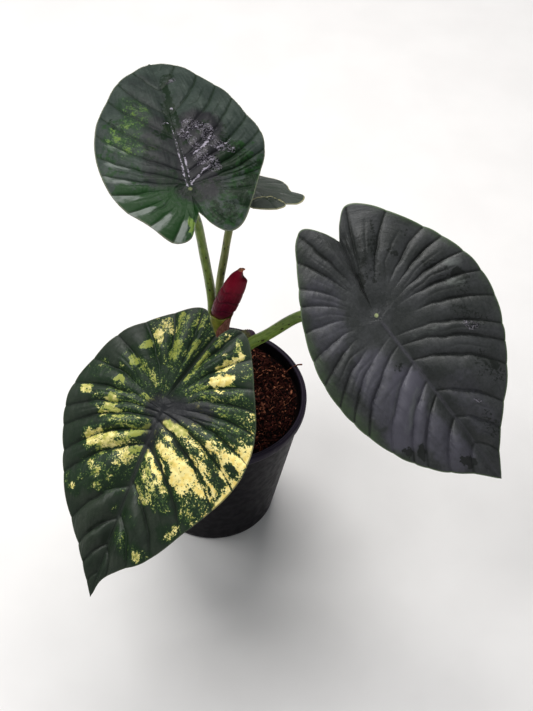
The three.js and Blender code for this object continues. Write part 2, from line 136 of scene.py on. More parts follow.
# %% Material helper
class Finish:
    """A material made node by node. Sizes of patterns are given in millimetres."""

    def __init__(self, name):
        self.material = bpy.data.materials.new(name)
        self.material.use_nodes = True
        self.tree = self.material.node_tree
        self.shader = self.tree.nodes["Principled BSDF"]
        self.place = self.node("ShaderNodeTexCoord").outputs["Object"]

    def node(self, kind, inputs=None, **settings):
        """A new node, with its settings made and its inputs fed."""
        made = self.tree.nodes.new(kind)
        for key, value in settings.items():
            setattr(made, key, value)
        for key, value in (inputs or {}).items():
            self.feed(made.inputs[key], value)
        return made

    def feed(self, socket, value):
        """Links a socket to another one, or sets its value."""
        if isinstance(value, bpy.types.NodeSocket):
            self.tree.links.new(value, socket)
        else:
            socket.default_value = value

    def stored(self, name):
        """A number stored at each point of the mesh."""
        return self.node("ShaderNodeAttribute", attribute_name=name).outputs["Fac"]

    def stored_place(self, name):
        """A place stored at each point of the mesh."""
        return self.node("ShaderNodeAttribute", attribute_name=name).outputs["Vector"]

    def math(self, operation, a, b=0.0, clamp=False):
        """One step of arithmetic on one or two numbers."""
        made = self.node("ShaderNodeMath", {0: a, 1: b}, operation=operation, use_clamp=clamp)
        return made.outputs[0]

    def times(self, a, b):
        """The product of two numbers."""
        return self.math("MULTIPLY", a, b)

    def plus(self, a, b, share=1.0):
        """The first number plus that share of the second."""
        return self.math("ADD", a, b if share == 1.0 else self.times(b, share))

    def stretch(self, place, scale):
        """The place with each coordinate scaled: a small scale draws a pattern out."""
        return self.node("ShaderNodeVectorMath", {0: place, 1: scale},
                         operation="MULTIPLY").outputs[0]

    def noise(self, size, detail=3.0, roughness=0.5, place=None, distortion=0.0):
        """Cloudy noise with features of that size, from about 0.25 to 0.75."""
        made = self.node("ShaderNodeTexNoise", {
            "Vector": place or self.place, "Scale": 1 / (size * MM), "Detail": detail,
            "Roughness": roughness, "Distortion": distortion})
        return made.outputs["Fac"]

    def swing(self, size, **kind):
        """The same noise about zero, from about -0.25 to 0.25."""
        return self.math("SUBTRACT", self.noise(size, **kind), 0.5)

    def cells(self, size, output="Distance", feature="F1", place=None):
        """Cells of that size: the distance to the nearest middle, or a colour of their own."""
        made = self.node("ShaderNodeTexVoronoi", {
            "Vector": place or self.place, "Scale": 1 / (size * MM)}, feature=feature)
        return made.outputs[output]

    def ramp(self, value, low, high, start=0.0, end=1.0):
        """A smooth step from start, at low, to end, at high."""
        made = self.node("ShaderNodeMapRange", {
            "Value": value, "From Min": low, "From Max": high, "To Min": start, "To Max": end},
            interpolation_type="SMOOTHSTEP")
        return made.outputs["Result"]

    def blend(self, share, first, second):
        """A colour between the first, at share 0, and the second, at share 1."""
        made = self.node("ShaderNodeMix", data_type="RGBA")
        for index, value in ((0, share), (6, first), (7, second)):
            self.feed(made.inputs[index], value)
        return made.outputs[2]

    def bump(self, height, depth, strength=1.0, below=None):
        """Relief whose full height is that depth, laid over the relief below it."""
        made = self.node("ShaderNodeBump", {
            "Height": height, "Distance": depth * MM, "Strength": strength})
        if below is not None:
            self.feed(made.inputs["Normal"], below)
        return made.outputs["Normal"]

    def finish(self, color, roughness, normal=None, **fixed):
        """Feeds the shader. The other values, named for its sockets, are even over the piece."""
        self.feed(self.shader.inputs["Base Color"], color)
        self.feed(self.shader.inputs["Roughness"], roughness)
        if normal is not None:
            self.feed(self.shader.inputs["Normal"], normal)
        for key, value in fixed.items():
            socket = key.replace("_", " ").title().replace("Ior", "IOR")
            self.shader.inputs[socket].default_value = value
        return self.material


# %% [markdown]
# ## Turning grids into pieces
# A grid of points becomes quads row by row. Where a grid closes on itself, at a pole or along the
# line that two halves share, some points lie on each other, and welding them gives one closed
# skin. The signed volume of that skin is a quick test: it is positive only when the faces point
# outwards.

# %% Mesh helpers
WELD = 2e-6


def grid_faces(columns, rows, first=0, turned=False):
    """Quads of a grid whose points run down each column in turn, from the index first.

    turned makes the quads face the other way.
    """
    index = first + np.arange(columns * rows).reshape(columns, rows)
    corners = [index[:-1, :-1], index[1:, :-1], index[1:, 1:], index[:-1, 1:]]
    if turned:
        corners.reverse()
    return np.stack(corners, -1).reshape(-1, 4)


def store(mesh, fields):
    """Puts a number or a place for each point of the mesh into named attributes."""
    for name, values in fields.items():
        single = values.ndim == 1
        made = mesh.attributes.new(name, "FLOAT" if single else "FLOAT_VECTOR", "POINT")
        made.data.foreach_set("value" if single else "vector", values.astype(np.float32).ravel())


def welded(mesh):
    """Joins points that lie on each other, and measures the skin.

    It returns the volume inside, in cubic millimetres, and how many open edges and triangles
    there are.
    """
    work = bmesh.new()
    work.from_mesh(mesh)
    bmesh.ops.remove_doubles(work, verts=work.verts, dist=WELD)
    open_edges = sum(len(edge.link_faces) != 2 for edge in work.edges)
    volume = work.calc_volume(signed=True) / MM ** 3
    triangles = sum(len(face.verts) - 2 for face in work.faces)
    work.to_mesh(mesh)
    work.free()
    return volume, open_edges, triangles


def make_piece(name, points, faces, material, node=None, fields=None, smooth=True):
    """One finished piece from points in millimetres: welded, riding on the frame and named."""
    mesh = bpy.data.meshes.new(name)
    mesh.from_pydata((np.asarray(points) * MM).tolist(), [], [list(map(int, f)) for f in faces])
    store(mesh, fields or {})
    volume, open_edges, triangles = welded(mesh)
    mesh.polygons.foreach_set("use_smooth", [smooth] * len(mesh.polygons))
    mesh.materials.append(material)
    piece = bpy.data.objects.new(name, mesh)
    SCENE.collection.objects.link(piece)
    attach(piece, "root")
    if node:
        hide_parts(node)
    print(f"{name}: {triangles} triangles, {volume:.0f} mm3, {open_edges} open edges")
    return piece


def with_poles(grid):
    """A grid of rings with the middle of its first and last ring added, so both ends close."""
    first = grid[:1].mean(1, keepdims=True) + 0 * grid[:1]
    last = grid[-1:].mean(1, keepdims=True) + 0 * grid[-1:]
    return np.concatenate([first, grid, last])


def make_tube(name, rings, material, node=None, fields=None, closed_line=False):
    """A piece from rings of points, one after the other, each anticlockwise about the way on.

    closed_line is for a strip with an inside and an outside: its ends close on a line.
    """
    stored = {}
    for key, values in (fields or {}).items():
        values = np.concatenate([values[:1], values, values[-1:]])
        stored[key] = values.reshape(-1, 3) * MM if values.ndim == 3 else values.ravel()
    if closed_line:
        ends = [(ring + ring[::-1]) / 2 for ring in (rings[0], rings[-1])]
        rings = np.concatenate([ends[0][None], rings, ends[1][None]])
    else:
        rings = with_poles(rings)
    count, sides = rings.shape[:2]
    index = np.arange(count * sides).reshape(count, sides)
    index = np.hstack([index, index[:, :1]])
    faces = np.stack([index[:-1, :-1], index[:-1, 1:], index[1:, 1:], index[1:, :-1]], -1)
    return make_piece(name, rings.reshape(-1, 3), faces.reshape(-1, 4), material, node,
                      stored)


# %% Curves and rings
PATH_STEPS = 3001


def step(value, low, high):
    """0 below low, 1 above high, and a smooth slope between them."""
    share = np.clip((value - low) / (high - low), 0, 1)
    return share * share * (3 - 2 * share)


def rumple(x, y, size, seed, waves=14):
    """Uneven ground: a sum of waves in random directions, from that size down to a quarter."""
    random = np.random.default_rng(seed)
    total = 0
    for k in range(waves):
        length = size * 0.25 ** (k / waves)
        heading, phase = random.uniform(0, 6.28, 2)
        total = total + np.sin(6.2832 * (x * np.cos(heading) + y * np.sin(heading)) / length
                               + phase) * (length / size)
    return total / waves * 2


def smooth_path(points, shares, power):
    """Points on a curve through the given points, at shares of its length.

    It is a Catmull-Rom curve. The distance between two points, to that power, sets how long the
    curve takes between them: 0 gives the uniform curve and 0.5 the centripetal one.
    """
    p = np.asarray(points, float)
    p = np.vstack([2 * p[0] - p[1], p, 2 * p[-1] - p[-2]])
    gaps = np.linalg.norm(np.diff(p, axis=0), axis=1) ** power

    def at(t):
        """The curve's points at numbers of spans t."""
        i = np.minimum(t.astype(int), len(p) - 4)
        w = (t - i)[:, None]
        d0, d1, d2 = (gaps[i + k][:, None] for k in range(3))
        a, b, c, d = (p[i + k] for k in range(4))
        leaving = d1 * ((b - a) / d0 - (c - a) / (d0 + d1)) + (c - b)
        arriving = (c - b) + d1 * ((d - c) / d2 - (d - b) / (d1 + d2))
        return ((2 * w ** 3 - 3 * w ** 2 + 1) * b + (w ** 3 - 2 * w ** 2 + w) * leaving
                + (3 * w ** 2 - 2 * w ** 3) * c + (w ** 3 - w ** 2) * arriving)

    t = np.linspace(0, len(p) - 3, PATH_STEPS)
    run = np.r_[0, np.cumsum(np.linalg.norm(np.diff(at(t), axis=0), axis=1))]
    return at(np.interp(np.asarray(shares) * run[-1], run, t))


def round_angles(sides):
    """Even steps of a full turn, as a row."""
    return 2 * np.pi * np.arange(sides)[None] / sides


def turned_from(angle, middle):
    """How far an angle is turned from the middle one, from minus half a turn to half a turn."""
    return (angle - middle + np.pi) % (2 * np.pi) - np.pi


def rings_about(path, across, up, x, y):
    """Rings of points: for each point of a path, x out along across and y out along up."""
    return path[:, None] + across[:, None] * x[..., None] + up[:, None] * y[..., None]


def frames_along(path, side):
    """For each point of a path: the way forward, the side made square to it, and the way up."""
    forward = np.gradient(path, axis=0)
    forward /= np.linalg.norm(forward, axis=1)[:, None]
    across = side - (forward @ side)[:, None] * forward
    across /= np.linalg.norm(across, axis=1)[:, None]
    return forward, across, np.cross(forward, across)


# %% [markdown]
# ## The leaf blades: their plan
# An alocasia leaf is a shield: the stalk joins it from below, and two lobes are fused behind that
# point. Each half is one grid. Its first parameter q counts the veins from the notch, 0, round
# the lobe and the flank to the tip; its second, v, runs along a vein from the midrib to the
# margin. The veins of the lobes leave the stalk's disc like a fan, those in front leave the
# midrib further and further apart, and all are bowed a little. The outline is a smooth curve
# through a few points, nearly the same as in the measured solid, and its margin bulges a little
# between the creases.

# %% Blade dimensions
BLADE = {"thickness": 0.9, "edge_thickness": 0.5, "disc": 3.4, "rib_depth": 2.2, "rib_fade": 0.75,
         "bow": 0.16, "full_bow_vein": 3, "sharpness": 0.6, "margin_puff": 0.93, "trough_width": 9,
         "full_puff": 30, "full_wave": 40, "wave_turns": 2.3, "spread": 2}
# For each leaf: the place of its disc; the way its tip points, its slope and its roll, in
# degrees; the radii of its arch to the front, back and sides; the number of its veins and of
# those in the fan; the heights of its relief; and its outline from the notch to the tip.
LEAVES = {
    "back": dict(
        at=(-23, -10, 300), heading=107.4, slope=9.3, roll=1.1, arch=(350, 500, 330),
        veins=13, fan=5, puff=1.5, trough=2.2, wave=1.0, scallop=0.15, sinus=(-16, -2),
        tip=(114, 3),
        left=[(-26, 2), (-35.5, 7), (-36, 17), (-24, 28), (-10, 39.5), (8, 47.5), (30, 49.5),
              (52, 46.5), (74, 37.5), (95, 24.5)],
        right=[(-27, -7.5), (-33, -16), (-27, -25.5), (-10, -35), (8, -43), (24, -49.5),
               (42, -50.5), (62, -44), (84, -33), (103, -18)]),
    "front": dict(
        at=(-27, -93, 205), heading=-112.2, slope=-37.6, roll=1.1, arch=(500, 600, 300),
        veins=13, fan=5, puff=3.4, trough=2.4, wave=1.2, scallop=0.5, sinus=(-48, 13),
        tip=(122, 0),
        left_creases=[1, 2, 3.05, 3.8, 4.6, 5.6, 6.6, 7.6, 9, 10.3, 11.2, 12],
        right_creases=[1, 2, 3, 4, 5.1, 6.1, 6.9, 7.5, 8.3, 9, 10.45, 11.3, 11.9, 12.5],
        left=[(-56, 21), (-55, 30), (-40, 40.5), (-20, 51), (0, 58.5), (20, 60), (42, 52.5),
              (65, 40), (88, 25.5), (100, 12), (110, 3.5)],
        right=[(-55, 6.5), (-61, 0), (-54, -13), (-40, -31), (-26, -44), (-6, -53.5), (14, -58),
               (34, -54.5), (56, -44), (78, -31.5), (98, -15), (112, -5.5)]),
    "right": dict(
        at=(92.5, -36, 238), heading=-37.5, slope=-29, roll=30, arch=(500, 600, 300),
        veins=14, fan=5, puff=2.9, trough=2.2, wave=0.8, scallop=0.6, sinus=(-48, 10),
        tip=(125, 0), smooth_to=7.5, smooth_run=(12.0, 46.0),
        left_creases=[1.3, 2.7, 4.1, 4.8, 5.7, 6.6, 7.6, 8.6, 9.2, 10, 11.3, 12.2, 13],
        right_creases=[1.6, 2.5, 3.4, 4.0, 4.9, 5.9, 6.8, 7.7, 8.4, 9.1, 10.1, 10.9, 11.4, 12.2,
                       13],
        left=[(-57, 17.5), (-62.5, 27), (-53, 38.5), (-36, 49), (-15, 60), (8, 66.5), (30, 65.5),
              (52, 56.5), (74, 42.5), (94, 23), (110, 9)],
        right=[(-58, 5), (-67, -3), (-63, -11), (-46, -23), (-24, -37), (0, -47), (24, -51),
               (52, -48.5), (78, -39.5), (98, -26), (112, -11)]),
    "young": dict(
        at=(1.9, 44.5, 258), heading=165, slope=-3, roll=24, arch=(300, 600, 250),
        veins=9, fan=4, puff=1.5, trough=1.4, wave=0.9, scallop=0.2, sinus=(-33, 12.3),
        tip=(72, 0),
        rolled=[(-33.4, 12.2), (-30, 10.6), (-25.5, 12.8), (-21.7, 17.4), (-19, 21), (-16.5, 25)],
        left=[(-35.6, 15.5), (-36.2, 20), (-33.6, 24.4), (-28.4, 28.2), (-19.4, 31.9), (-8, 33),
              (8, 34), (24, 29.5), (40, 19), (56, 10.5)],
        right=[(-37.7, 11.6), (-41.3, 9.6), (-43, 5), (-42.8, -1), (-40.6, -6.4), (-36.6, -8.8),
               (-32.4, -9.6), (-29.2, -14), (-26, -20.6), (-21.6, -25.2), (-16.5, -25),
               (-10, -23.6), (4, -27), (24, -27), (40, -19), (56, -10.5)]),
}
print("veins of each half:", {name: leaf["veins"] for name, leaf in LEAVES.items()})


# %% Blade plan
WAVER = {"reach": 1.5, "size": 24.0, "least_pace": 3.0}
SCALLOP = {"usual": 0.7, "uneven": 0.3, "pace": 2.4, "bluntness": 0.8, "mean": 0.6, "held": 1.5}


def creases(leaf, side):
    """Where the creases of one half lie, as vein numbers: as listed, or at the whole numbers."""
    listed = leaf.get("left_creases" if side > 0 else "right_creases")
    return np.array([0, *(listed or range(1, leaf["veins"])), leaf["veins"]], float)


def crease_count(leaf, side, q):
    """How many creases lie before the vein number q, with the share of the bay that it is in."""
    at = creases(leaf, side)
    return np.interp(q, at, np.arange(len(at)))


def wavered(leaf, plan, q, v, seed):
    """Vein numbers moved by a slow drift, so that creases waver; still on seam, rib and margin."""
    pace = np.linalg.norm(np.gradient(plan, q, axis=0), axis=-1)
    drift = WAVER["reach"] * rumple(plan[..., 0], plan[..., 1], WAVER["size"], seed + 5)
    held = step(q, 0, 1) * (1 - step(q, leaf["veins"] - 1, leaf["veins"]))
    moved = q[:, None] + drift / np.maximum(pace, WAVER["least_pace"]) * np.sin(
        np.pi * v)[None] * held[:, None]
    return np.clip(moved, 0, leaf["veins"])


# %% Veins and margin
def vein_start(leaf, side, q):
    """Where the vein q leaves the seam to the notch, the stalk's disc, or the midrib."""
    r, fan_end = BLADE["disc"], 1 + leaf["fan"]
    (sinus_x, sinus_y), (tip_x, tip_y) = leaf["sinus"], leaf["tip"]
    seam_x = sinus_x * (1 - q) - r * q
    seam = np.stack([seam_x, sinus_y * (seam_x + r) / (sinus_x + r)], -1)
    angle = np.pi * (1 - (q - 1) / leaf["fan"])
    disc = np.stack([r * np.cos(angle), side * r * np.sin(angle)], -1)
    run = (np.maximum(q - fan_end, 0) / (leaf["veins"] - fan_end)) ** BLADE["spread"]
    midrib = np.stack([r + (tip_x - r) * run, tip_y * run ** 2], -1)
    return np.where((q <= 1)[:, None], seam, np.where((q < fan_end)[:, None], disc, midrib))


def margin_points(leaf, side, q):
    """Where the vein q ends: shares of the outline's length from the notch to the tip.

    The margin bulges a little outwards between two creases, and more in some bays than in others.
    """
    outline = [leaf["sinus"], *leaf["left" if side > 0 else "right"], leaf["tip"]]
    smooth = smooth_path(outline, q / leaf["veins"], 0)
    count = crease_count(leaf, side, q)
    uneven = SCALLOP["usual"] + SCALLOP["uneven"] * np.sin(SCALLOP["pace"] * count + side)
    bulge = np.abs(np.sin(np.pi * count)) ** SCALLOP["bluntness"] - SCALLOP["mean"]
    held = step(q, 0, SCALLOP["held"]) * (
        1 - step(q, leaf["veins"] - SCALLOP["held"], leaf["veins"]))
    return smooth + (leaf["scallop"] * uneven * bulge * held)[:, None] * outward_from(
        smooth, q, side)


def outward_from(line, q, side):
    """Unit directions square to a half's margin, away from the blade."""
    tangent = np.gradient(line, q, axis=0)
    outward = side * np.stack([-tangent[:, 1], tangent[:, 0]], -1)
    return outward / (np.linalg.norm(outward, axis=1)[:, None] + 1e-9)


def blade_plan(leaf, side, q, v):
    """Flat places of the grid: each vein is a quadratic curve bowed towards the lobes."""
    start, end = vein_start(leaf, side, q), margin_points(leaf, side, q)
    along = end - start
    bow = BLADE["bow"] * np.minimum(q / BLADE["full_bow_vein"], 1) * side
    middle = (start + end) / 2 + bow[:, None] * np.stack([-along[:, 1], along[:, 0]], -1)
    w = v[None, :, None]
    plan = (1 - w) ** 2 * start[:, None] + 2 * w * (1 - w) * middle[:, None] + w ** 2 * end[:, None]
    return plan, np.hypot(*along.T)[:, None]


def midrib_distance(leaf, plan):
    """How far a place lies to the side of the line notch, disc, tip."""
    x, y = plan[..., 0], plan[..., 1]
    r, (sinus_x, sinus_y), (tip_x, tip_y) = BLADE["disc"], leaf["sinus"], leaf["tip"]
    line = np.where(x > r, tip_y * ((x - r) / (tip_x - r)) ** 2,
                    np.where(x < -r, sinus_y * (x + r) / (sinus_x + r), 0))
    return np.abs(y - line)


# %% [markdown]
# ## The leaf blades: their relief
# Between two veins the blade puffs up like a quilt, and each vein is a crease that wavers a
# little. The midrib lies in a trough, with a low ridge of its own, and the whole blade arches
# down all round. On top of this form, which the solid has too, come the narrow grooves of the
# veins, a lesser crease that forks off a vein in most bays, slight swellings along each bay, and
# on the young leaf a low roll where its margin has turned over. Below, the veins stand proud as
# ribs, and the thickness swells to the disc where the stalk joins.

# %% Blade relief
GROOVE = {"depth": 0.5, "width": 0.55, "starts": 2.0}
FORK = {"depth": 0.55, "width": 0.8, "from": 0.12, "to": 0.55, "end": 0.93, "fade": 0.2,
        "bay_width": 6, "off_seam": 0.6}
SWELL = {"height": 0.16, "spacing": 11.0}
RIDGE = {"height": 0.7, "width": 1.25, "tip_share": 0.3, "fall": 0.6, "starts": 6}
NUB = {"height": 0.5, "width": 2.2}
ROLLED_EDGE = {"height": 1.3, "width": 0.9}
NO_ROLL = [(500, 500), (500, 501)]
UNDER_VEIN = {"height": 0.8, "width": 0.75, "rib_width": 1.8, "disc_width": 4.0}
BAY = {"usual_width": 8.0, "least": 0.4, "most": 1.35, "mean": 0.8, "uneven": 0.35}
FAN_SMOOTH, FAN_BLEND = (6.0, 40.0), 3


def roll_distance(leaf, plan):
    """How far a place lies from the line where the margin has rolled over onto the blade.

    A leaf without such a line is given one far outside it.
    """
    line = np.array(leaf.get("rolled", NO_ROLL), float)
    gaps = []
    for start, end in zip(line[:-1], line[1:]):
        run = end - start
        share = np.clip((plan - start) @ run / (run @ run), 0, 1)
        gaps.append(np.linalg.norm(plan - start - share[..., None] * run, axis=-1))
    return np.min(gaps, 0)


def common_height(leaf, plan):
    """Height that depends on the place alone.

    It is minus the arch, plus the midrib's ridge, the nub over the stalk and the rolled edge.
    """
    x, y = plan[..., 0], plan[..., 1]
    arch_front, arch_back, arch_side = leaf["arch"]
    arch = x ** 2 / (2 * np.where(x > 0, arch_front, arch_back)) + y ** 2 / (2 * arch_side)
    run = np.clip(x / leaf["tip"][0], 0, 1)
    width = RIDGE["width"] * (1 - (1 - RIDGE["tip_share"]) * run)
    ridge = RIDGE["height"] * (1 - RIDGE["fall"] * run) * step(x, 0, RIDGE["starts"]) * np.exp(
        -(midrib_distance(leaf, plan) / width) ** 2)
    nub = NUB["height"] * np.exp(-(x ** 2 + y ** 2) / NUB["width"] ** 2)
    roll = ROLLED_EDGE["height"] * np.exp(
        -(roll_distance(leaf, plan) / ROLLED_EDGE["width"]) ** 2)
    return ridge + nub + roll - arch


# %% Puffs, grooves and forks
def bay_numbers(leaf, side, seed):
    """For each bay: how strong its forked crease is, and where its swellings begin."""
    random = np.random.default_rng(seed + (side > 0))
    bays = len(creases(leaf, side)) + 1
    return random.uniform(0.2, 1.0, bays), random.uniform(0, 6.28, bays)


def blade_relief(leaf, side, q, v, count, length, width, seed):
    """Height over the common form: puff, trough and wave, then grooves, forks and swellings.

    The puff is |sin(pi u)|^0.6 across a bay, where u counts creases, and fades to the margin.
    Wide bays puff more. The fan's veins start smooth at the disc. Every term is 0 at v = 0.
    Also returned are the distance to the vein, the fork's depth and how far creases show.
    """
    q, v = q[:, None], v[None]
    run = v * length
    strength, phase = bay_numbers(leaf, side, seed)
    bay = count.astype(int)
    smooth_to = leaf.get("smooth_to", leaf["fan"])
    fan = 1 - step(q, smooth_to, smooth_to + FAN_BLEND)
    shown = 1 - fan * (1 - step(run, *leaf.get("smooth_run", FAN_SMOOTH)))
    across = np.abs(np.sin(np.pi * count)) ** BLADE["sharpness"] * shown
    along = np.sin(np.pi * BLADE["margin_puff"] * v ** 0.75)
    broad = np.clip(width / BAY["usual_width"], BAY["least"], BAY["most"]) * (
        BAY["mean"] + BAY["uneven"] * np.sin(phase[bay]) ** 2)
    puff = leaf["puff"] * across * along * broad * np.minimum(length / BLADE["full_puff"], 1)
    trough = leaf["trough"] * (1 - np.exp(-(run / BLADE["trough_width"]) ** 2))
    ripple = v ** 3 * np.sin(BLADE["wave_turns"] * q + side)
    wave = leaf["wave"] * ripple * np.minimum(length / BLADE["full_wave"], 1)
    vein = np.abs(count - np.round(count)) * width
    groove = -GROOVE["depth"] * np.exp(-(vein / GROOVE["width"]) ** 2) * step(
        run, 0, GROOVE["starts"]) * (1 - v ** 6) * shown
    fork_line = 1 - 0.5 * step(v, FORK["from"], FORK["to"])
    fork_distance = np.abs(count - bay - fork_line) * width
    fork = -FORK["depth"] * strength[bay] * np.exp(-(fork_distance / FORK["width"]) ** 2) * step(
        v, FORK["from"], FORK["to"]) * (1 - step(v, FORK["end"] - FORK["fade"], FORK["end"]))
    fork = fork * np.minimum(width / FORK["bay_width"], 1) * step(q, 0, FORK["off_seam"])
    swell = SWELL["height"] * np.sin(6.2832 * run / SWELL["spacing"] + phase[bay]) * across * along
    return puff + trough + wave + groove + fork + swell, vein, np.abs(fork), shown


def depth_below(leaf, plan, v, vein):
    """Thickness under a place: thinner at the margin, thicker on ribs, thickest at the disc."""
    x = plan[..., 0]
    reach = np.where(x > 0, leaf["tip"][0], leaf["sinus"][0])
    fade = np.clip(1 - x / reach, 0, 1) ** BLADE["rib_fade"]
    rib = fade * np.exp(-(midrib_distance(leaf, plan) / UNDER_VEIN["rib_width"]) ** 2)
    disc = np.exp(-(np.hypot(x, plan[..., 1]) / UNDER_VEIN["disc_width"]) ** 4)
    sheet = BLADE["thickness"] - (BLADE["thickness"] - BLADE["edge_thickness"]) * step(v, 0.8, 1)
    veins = UNDER_VEIN["height"] * np.exp(-(vein / UNDER_VEIN["width"]) ** 2) * (1 - v) ** 0.6
    return sheet + np.maximum(BLADE["rib_depth"] * np.maximum(rib, disc), veins * step(v, 0, 0.03))


# %% [markdown]
# ## The leaf blades: one closed skin
# Each half is a strip that runs from the midrib out over the upper face, round the rounded margin
# and back under the lower face. Columns stand half a millimetre apart at the margin, close enough
# for the creases. The small disc over the stalk is its own grid, from its middle out to the
# veins' starts. Numbers for the material are stored at each point: the distances to the vein and
# to the margin, the face, and how strongly each kind of marking shows there.

# %% Blade skin
COLUMNS_A_BAY, ROWS, BEAD_ROWS, DISC_ROWS = 20, 54, 3, 5
ROW_CROWDING, BEAD_TAPER = 1.25, 0.2
# Each bay's brink: where it begins, is full, and ends, as shares of the bay.
BRINK = (0.3, 0.85, 0.95)
FLOW = {"vein_gap": 9.0, "half_gap": 50}


def blade_columns(leaf):
    """Even steps along the outline, alike on both halves so that they meet at the midrib."""
    return np.linspace(0, leaf["veins"], leaf["veins"] * COLUMNS_A_BAY + 1)


def flow_place(q, run, side):
    """The place that streaky patterns read: veins apart, along them, and the halves apart."""
    across = np.broadcast_to(q[:, None] * FLOW["vein_gap"], run.shape)
    return np.dstack([across, run, np.full(run.shape, FLOW["half_gap"] * side)]) * MM


def both_faces(field):
    """Numbers of the upper face, carried round the margin's bead and back along the lower one."""
    return np.concatenate([field, np.repeat(field[:, -1:], BEAD_ROWS, 1), field[:, ::-1]], 1)


# %% Blade halves
def blade_half(leaf, side, seed):
    """Points and stored numbers of one half: upper face, margin bead, lower face."""
    q, v = blade_columns(leaf), np.linspace(0, 1, ROWS + 1) ** ROW_CROWDING
    plan, length = blade_plan(leaf, side, q, v)
    width = np.linalg.norm(np.gradient(plan, crease_count(leaf, side, q), axis=0), axis=-1)
    count = crease_count(leaf, side, wavered(leaf, plan, q, v, seed))
    relief, vein, fork, shown = blade_relief(leaf, side, q, v, count, length, width, seed)
    brink = step(count % 1, *BRINK[:2]) * (1 - step(count % 1, BRINK[2], 1))
    height = common_height(leaf, plan) + relief
    depth = depth_below(leaf, plan, v[None] + 0 * q[:, None], vein)
    upper = np.dstack([plan, height])
    lower = np.dstack([plan, height - depth])
    outward = outward_from(margin_points(leaf, side, q), q, side)
    taper = step(q, 0, BEAD_TAPER) * (1 - step(q, leaf["veins"] - BEAD_TAPER, leaf["veins"]))
    angle = np.pi / 2 - np.pi * np.arange(1, BEAD_ROWS + 1) / (BEAD_ROWS + 1)
    radius = (upper[:, -1:, 2:] - lower[:, -1:, 2:]) / 2
    middle = (upper[:, -1:] + lower[:, -1:]) / 2
    out = radius * np.cos(angle)[None, :, None] * (taper[:, None] * outward)[:, None]
    bead = middle + np.dstack([out, np.broadcast_to(
        radius * np.sin(angle)[None, :, None], out.shape[:2] + (1,))])
    strip = np.concatenate([upper, bead, lower[:, ::-1]], 1)
    fields = {
        "vein": vein + 2 * (1 - shown), "fork": fork, "margin": (1 - v[None]) * length,
        "rib": midrib_distance(leaf, plan), "brink": brink, "plan": plan,
        "flow": flow_place(q, v[None] * length, side)}
    fields = {name: both_faces(values) for name, values in fields.items()}
    fields["under"] = np.zeros(strip.shape[:2])
    fields["under"][:, len(v) + BEAD_ROWS:] = 1
    return strip, fields


# %% Blade disc
def blade_disc(leaf, side):
    """The half disc over the stalk: rows run from its middle to the starts of the fan's veins.

    It counts as far from every vein and from the margin, so that none of their tints shows.
    """
    q = blade_columns(leaf)
    q = q[(q >= 1) & (q <= 1 + leaf["fan"])]
    share = np.linspace(0, 1, DISC_ROWS)
    plan = vein_start(leaf, side, q)[:, None] * share[None, :, None]
    height = common_height(leaf, plan)
    zero = np.zeros(height.shape)
    upper = np.dstack([plan, height])
    lower = np.dstack([plan, height - depth_below(leaf, plan, zero, zero + 9)])[:, ::-1]
    fields = {"vein": zero + 2, "fork": zero, "margin": zero + 40, "rib": zero + 9, "brink": zero,
              "plan": plan, "flow": flow_place(q, zero, side)}
    return upper, lower, fields


# %% Whole blade
def attitude(leaf):
    """The turn of a blade: roll about its midrib, then its slope, then its heading."""
    heading, slope, roll = (np.radians(leaf[key]) for key in ("heading", "slope", "roll"))
    about_z = np.array([[np.cos(heading), -np.sin(heading), 0],
                        [np.sin(heading), np.cos(heading), 0], [0, 0, 1]])
    about_y = np.array([[np.cos(slope), 0, -np.sin(slope)], [0, 1, 0],
                        [np.sin(slope), 0, np.cos(slope)]])
    about_x = np.array([[1, 0, 0], [0, np.cos(roll), -np.sin(roll)],
                        [0, np.sin(roll), np.cos(roll)]])
    return about_z @ about_y @ about_x


def blade_skin(leaf, seed):
    """All points, faces and stored numbers of a blade, in the plant's frame."""
    points, faces, stored, count = [], [], {}, 0
    for side in (1, -1):
        strip, fields = blade_half(leaf, side, seed)
        upper, lower, disc_fields = blade_disc(leaf, side)
        disc_under = [np.zeros(upper.shape[:2]), np.ones(upper.shape[:2])]
        parts = [(strip, fields)]
        for grid, under in zip((upper, lower), disc_under):
            parts.append((grid, {**disc_fields, "under": under}))
        for grid, own in parts:
            faces.append(grid_faces(*grid.shape[:2], first=count, turned=side < 0))
            points.append(grid.reshape(-1, 3))
            count += len(points[-1])
            for name, values in own.items():
                flat = values.reshape(-1, values.shape[-1]) if values.ndim == 3 else values.ravel()
                stored.setdefault(name, []).append(flat)
    points = np.vstack(points) @ attitude(leaf).T + np.array(leaf["at"], float)
    fields = {name: np.concatenate(parts) for name, parts in stored.items()}
    return points, np.vstack(faces), fields


# %% [markdown]
# ## The markings: strokes on the blade
# The pale patches follow sectors of the leaf and break up into speckles at their edges. Each is
# laid down as a stroke: from one place on the blade to another, in the blade's own millimetres
# from the stalk's disc, with a half width and a strength. A negative strength erases the strokes
# before it. The strokes only say how likely pale tissue is. The ragged edges and the speckles
# come later, from noise in the material. Dark and wet places, and painted highlights, are laid
# down the same way.

# %% Strokes
ERASE_FEATHER = 1.0


def wandered(plan, size, reach, seed):
    """The places moved by a smooth random drift, so that strokes get wavering outlines."""
    x, y = plan.T
    return plan + reach * np.stack([rumple(x, y, size, seed), rumple(x, y, size, seed + 1)], -1)


